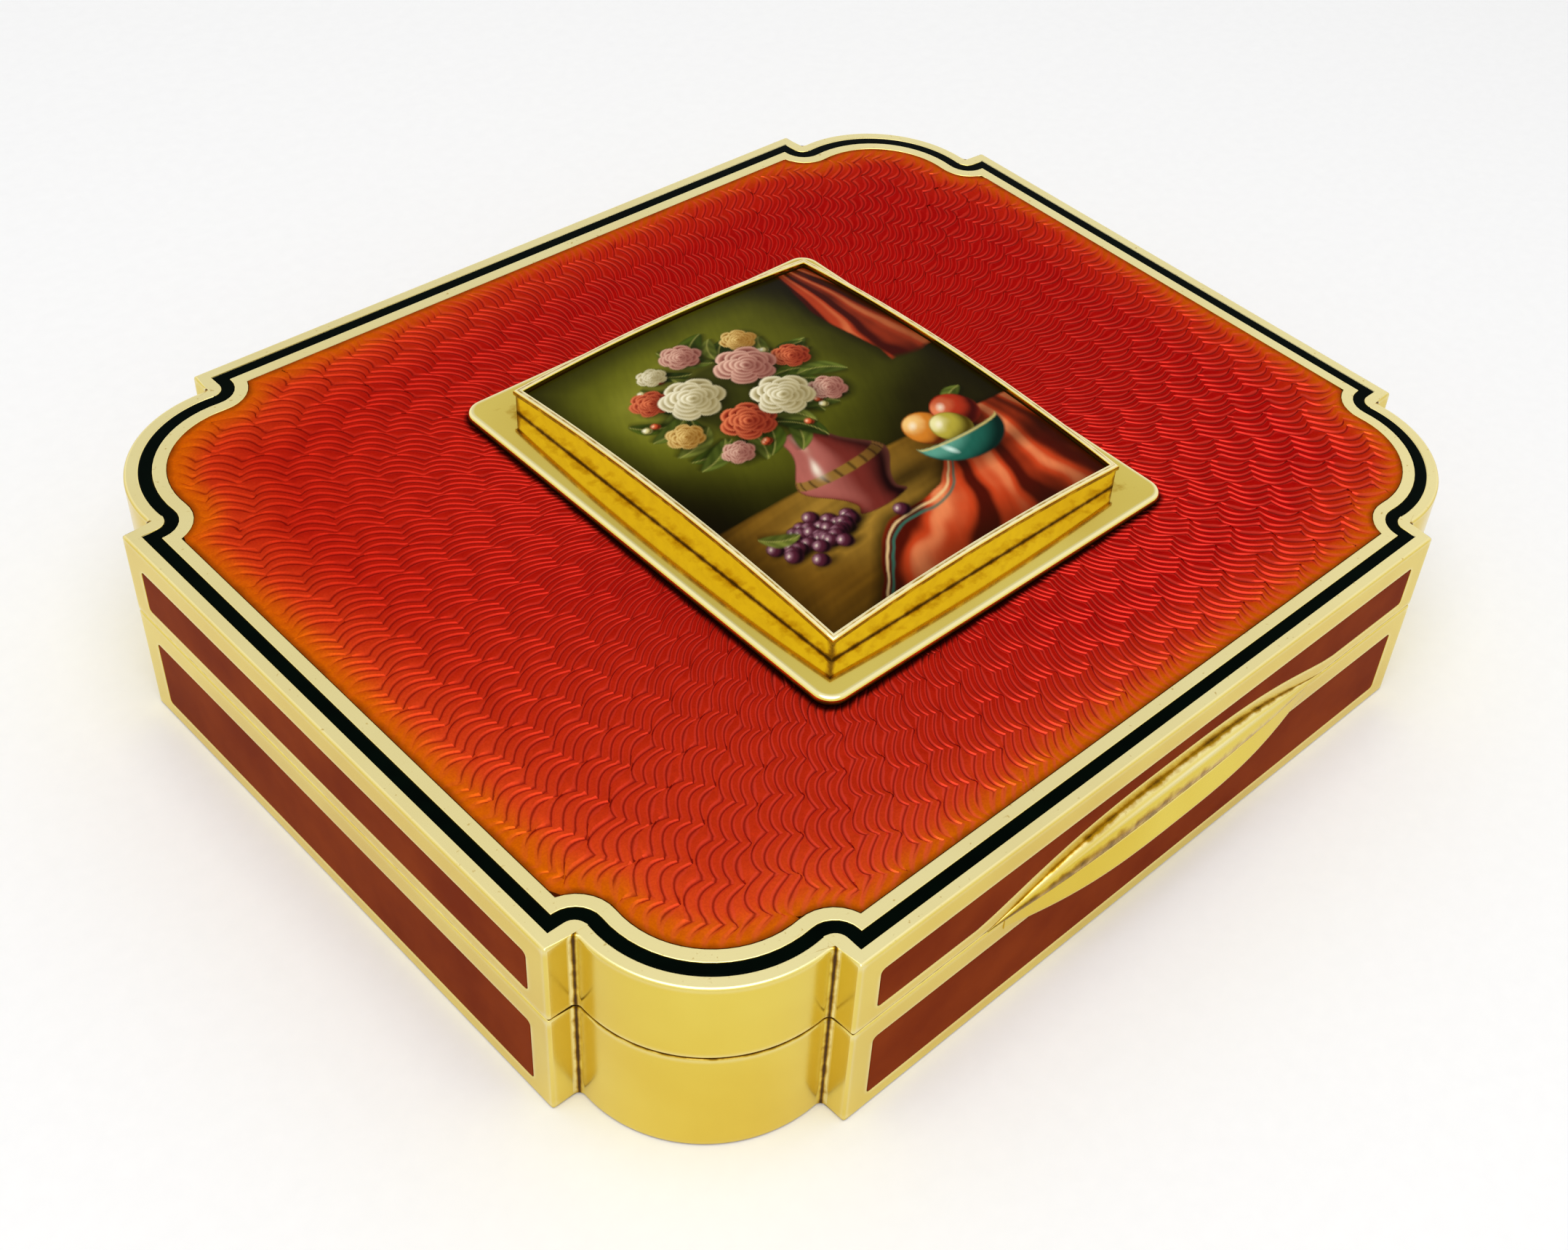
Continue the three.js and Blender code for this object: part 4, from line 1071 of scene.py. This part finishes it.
    # Leaves and berries, then roses over them
    lay("#121604", 0.85 * inside(oval(jug_x, 8.6, 9.0, 8.4), 5))
    greens = (("#1c2606", "#4e5e18"), ("#243008", "#68742a"), ("#141c06", "#3a4a14"), ("#2a340a", "#7e8434"))
    for k in range(LEAVES):
        angle = 360 * k / LEAVES + draws.uniform(-6, 6)
        reach = draws.uniform(6.5, 11.5)
        leaf_x = jug_x + 1.05 * reach * math.cos(math.radians(angle))
        leaf_y = 8.4 + 0.9 * reach * math.sin(math.radians(angle))
        leaf(leaf_x, leaf_y, draws.uniform(4.4, 7.2), angle + draws.uniform(-38, 38), *greens[k % 4])
    for k in range(BERRIES):
        angle, reach = draws.uniform(0, math.tau), draws.uniform(8.5, 12.5)
        berry = (("#6a5c20", "#d8cc8c", "#fbf6dc"), ("#5a1406", "#c8502a", "#f4a878"))[k % 2]
        ball(jug_x + reach * math.cos(angle), 8.6 + 0.9 * reach * math.sin(angle), 0.5, 0.5, *berry)
    creams = ("#6e5c2c", "#cfc08a", "#fbf3d6")
    reds = ("#4a0a06", "#b0321a", "#f08858")
    ochres = ("#6a3c08", "#c08a30", "#f4d88c")
    pinks = ("#5c2420", "#b87260", "#f0c6ac")
    roses = (
        (-12.6, 13.8, 2.5, reds), (-4.4, 18.6, 2.6, pinks), (3.0, 17.0, 2.3, ochres),
        (5.6, 10.6, 2.5, reds), (-13.6, 6.6, 2.3, ochres), (-11.0, 0.8, 2.0, pinks),
        (4.6, 3.2, 2.4, pinks), (-9.4, 17.6, 1.8, creams), (-8.6, 11.4, 4.0, creams),
        (-6.6, 4.2, 3.5, reds), (0.2, 12.4, 3.9, pinks), (-0.4, 5.4, 3.9, creams),
    )
    for cx, cy, size, tones in roses:
        rose(cx, cy, size, *tones)
    # Bowl of fruit, and grapes on the table
    leaf(15.4, -6.4, 4.6, 28, *greens[1])
    ball(8.4, -9.0, 2.9, 2.8, "#5a1e06", "#cc7a24", "#fbd080", 0.5)
    ball(13.6, -8.4, 3.0, 2.9, "#3c0a06", "#a83018", "#ee8a58", 0.5)
    ball(11.0, -10.4, 2.6, 2.5, "#4a3c08", "#b0a038", "#f4ecae", 0.35)
    bowl_x, bowl_y, bowl_width, bowl_depth = 11.0, -11.4, 6.2, 4.6
    u, v = (x - bowl_x) / bowl_width, (y - bowl_y) / bowl_depth
    below = -11.2 - 0.9 * bulge(u) - y
    bowl = inside(np.maximum(oval(bowl_x, bowl_y, bowl_width, bowl_depth), -below))
    lay("#0e0802", 0.8 * inside(oval(12.4, -15.6, 6.4, 1.3), 2.4))
    bowl_lit = 0.62 * bulge(u, v) - 0.62 * u + 0.5 * v + 0.3
    model(bowl, bowl_lit, "#06201a", "#1f5c4c", "#5fa08a")
    lay("#d8c070", 0.8 * bowl * inside(below - 0.3, 0.25))
    lay("#e8fff0", 0.7 * inside(oval(7.9, -13.2, 0.35, 0.8, 25), 0.5))
    grapes = [(draws.normal(0, 1.9), draws.normal(0, 0.95)) for _ in range(GRAPES)]
    for dx, dy in sorted(grapes, key=lambda grape: -grape[1]):
        ball(-13.4 + dx, -14.4 + dy - 0.18 * dx, 0.98, 0.98, "#16060c", "#4c1c2a", "#9a6a78")
    leaf(-16.6, -12.0, 4.6, 150, *greens[3])
    ball(-3.4, -17.0, 1.0, 0.95, "#16060c", "#4c1c2a", "#9a6a78")
    # Brush marks and the darkened edge
    picture[:] *= (1 + 0.10 * (marks(2.2, 0.4, 62) - 0.5) + 0.10 * clouds(1.2))[..., None]
    half_x, half_y = PLAQUE_HALF / MM
    near_edge = np.maximum(np.abs(x) / half_x, np.abs(y) / half_y)
    lay("#100a02", 0.6 * ramp(near_edge, 0.8, 1.02))
    return np.clip(picture, 0, 1)


sheets_and_fittings()
corner_lobes()
thumbpiece()
bezel()
flange()
engraved_field()
painted_plaque()


# Camera, as the photograph was taken
PHOTO_WIDTH, PHOTO_HEIGHT = 2156, 1719
AIM_PIXEL = (1318, 803)
FOCAL_PIXELS = 2735
SENSOR = 36
AZIMUTH, ELEVATION, ROLL = math.radians(-51.22), math.radians(41.98), math.radians(7.93)
DISTANCE = 226.0 * MM
AIM = Vector((4.50, -19.77, 16.25)) * MM


def photo_camera():
    lens = bpy.data.cameras.new("camera")
    lens.sensor_width = SENSOR
    lens.lens = FOCAL_PIXELS / PHOTO_WIDTH * SENSOR
    lens.shift_x = (PHOTO_WIDTH / 2 - AIM_PIXEL[0]) / PHOTO_WIDTH
    lens.shift_y = (AIM_PIXEL[1] - PHOTO_HEIGHT / 2) / PHOTO_WIDTH
    lens.clip_start, lens.clip_end = 0.01, 20
    camera = bpy.data.objects.new("camera", lens)
    bpy.context.scene.collection.objects.link(camera)
    back = Vector((math.cos(ELEVATION) * math.sin(AZIMUTH), -math.cos(ELEVATION) * math.cos(AZIMUTH),
                   math.sin(ELEVATION)))
    level_right = Vector((math.cos(AZIMUTH), math.sin(AZIMUTH), 0))
    level_up = back.cross(level_right)
    right = level_right * math.cos(ROLL) + level_up * math.sin(ROLL)
    up = level_up * math.cos(ROLL) - level_right * math.sin(ROLL)
    turn = Matrix((right, up, back)).transposed()
    camera.matrix_world = Matrix.Translation(AIM + back * DISTANCE) @ turn.to_4x4()
    bpy.context.scene.camera = camera


# Studio: a white table in a white room, with one soft lamp over it and two grey cards that the level faces
# mirror. Each card has its direction, the cosines at its soft edge, and the share of light that it leaves
ROOM_SEEN, ROOM_LIGHT = 1.05, 0.6
CARDS = (
    ((0.58, 0.466, 0.669), 0.961, 0.996, 0.762),
    ((0.36, 0.70, 0.62), 0.955, 0.992, 0.8),
)
TABLE_HALF, TABLE_TOP = 3.0, -0.03 * MM
LAMP_PLACE, LAMP_SIZE, LAMP_WATTS = (-0.17, -0.17, 0.76), 0.8, 3.4


def studio():
    scene = bpy.context.scene
    scene.view_settings.view_transform = "Standard"
    world = bpy.data.worlds.new("studio")
    world.use_nodes = True
    scene.world = world
    world.node_tree.nodes.clear()
    add = partial(put, world.node_tree)
    path = add("LightPath").outputs
    seen = add("Math", [path["Is Camera Ray"], path["Is Glossy Ray"]], "MAXIMUM")
    seen = add("Math", [seen, path["Is Transmission Ray"]], "MAXIMUM")
    towards = add("TexCoord").outputs["Generated"]
    room = ROOM_SEEN
    for card, edge, whole, left in CARDS:
        near_card = add("VectorMath", [towards, card], "DOT_PRODUCT").outputs["Value"]
        light = add("MapRange", [near_card, edge, whole, 1.0, left], interpolation_type="SMOOTHSTEP")
        room = add("Math", [room, light], "MULTIPLY")
    strength = add("MapRange", [seen, 0.0, 1.0, ROOM_LIGHT, room])
    sky = add("Background", {"Color": (1, 1, 1, 1), "Strength": strength})
    add("OutputWorld", {"Surface": sky})

    half = TABLE_HALF
    corners = raised([(-half, -half), (half, -half), (half, half), (-half, half)], TABLE_TOP)
    table = new_piece("table", corners, [(0, 1, 2, 3)])
    table.data.materials.append(PAPER)

    lamp = bpy.data.lights.new("soft_box", "AREA")
    lamp.shape = "DISK"
    lamp.size = LAMP_SIZE
    lamp.energy = LAMP_WATTS
    soft_box = bpy.data.objects.new("soft_box", lamp)
    scene.collection.objects.link(soft_box)
    soft_box.location = LAMP_PLACE
    soft_box.rotation_mode = "QUATERNION"
    soft_box.rotation_quaternion = soft_box.location.to_track_quat("Z", "Y")


photo_camera()
studio()
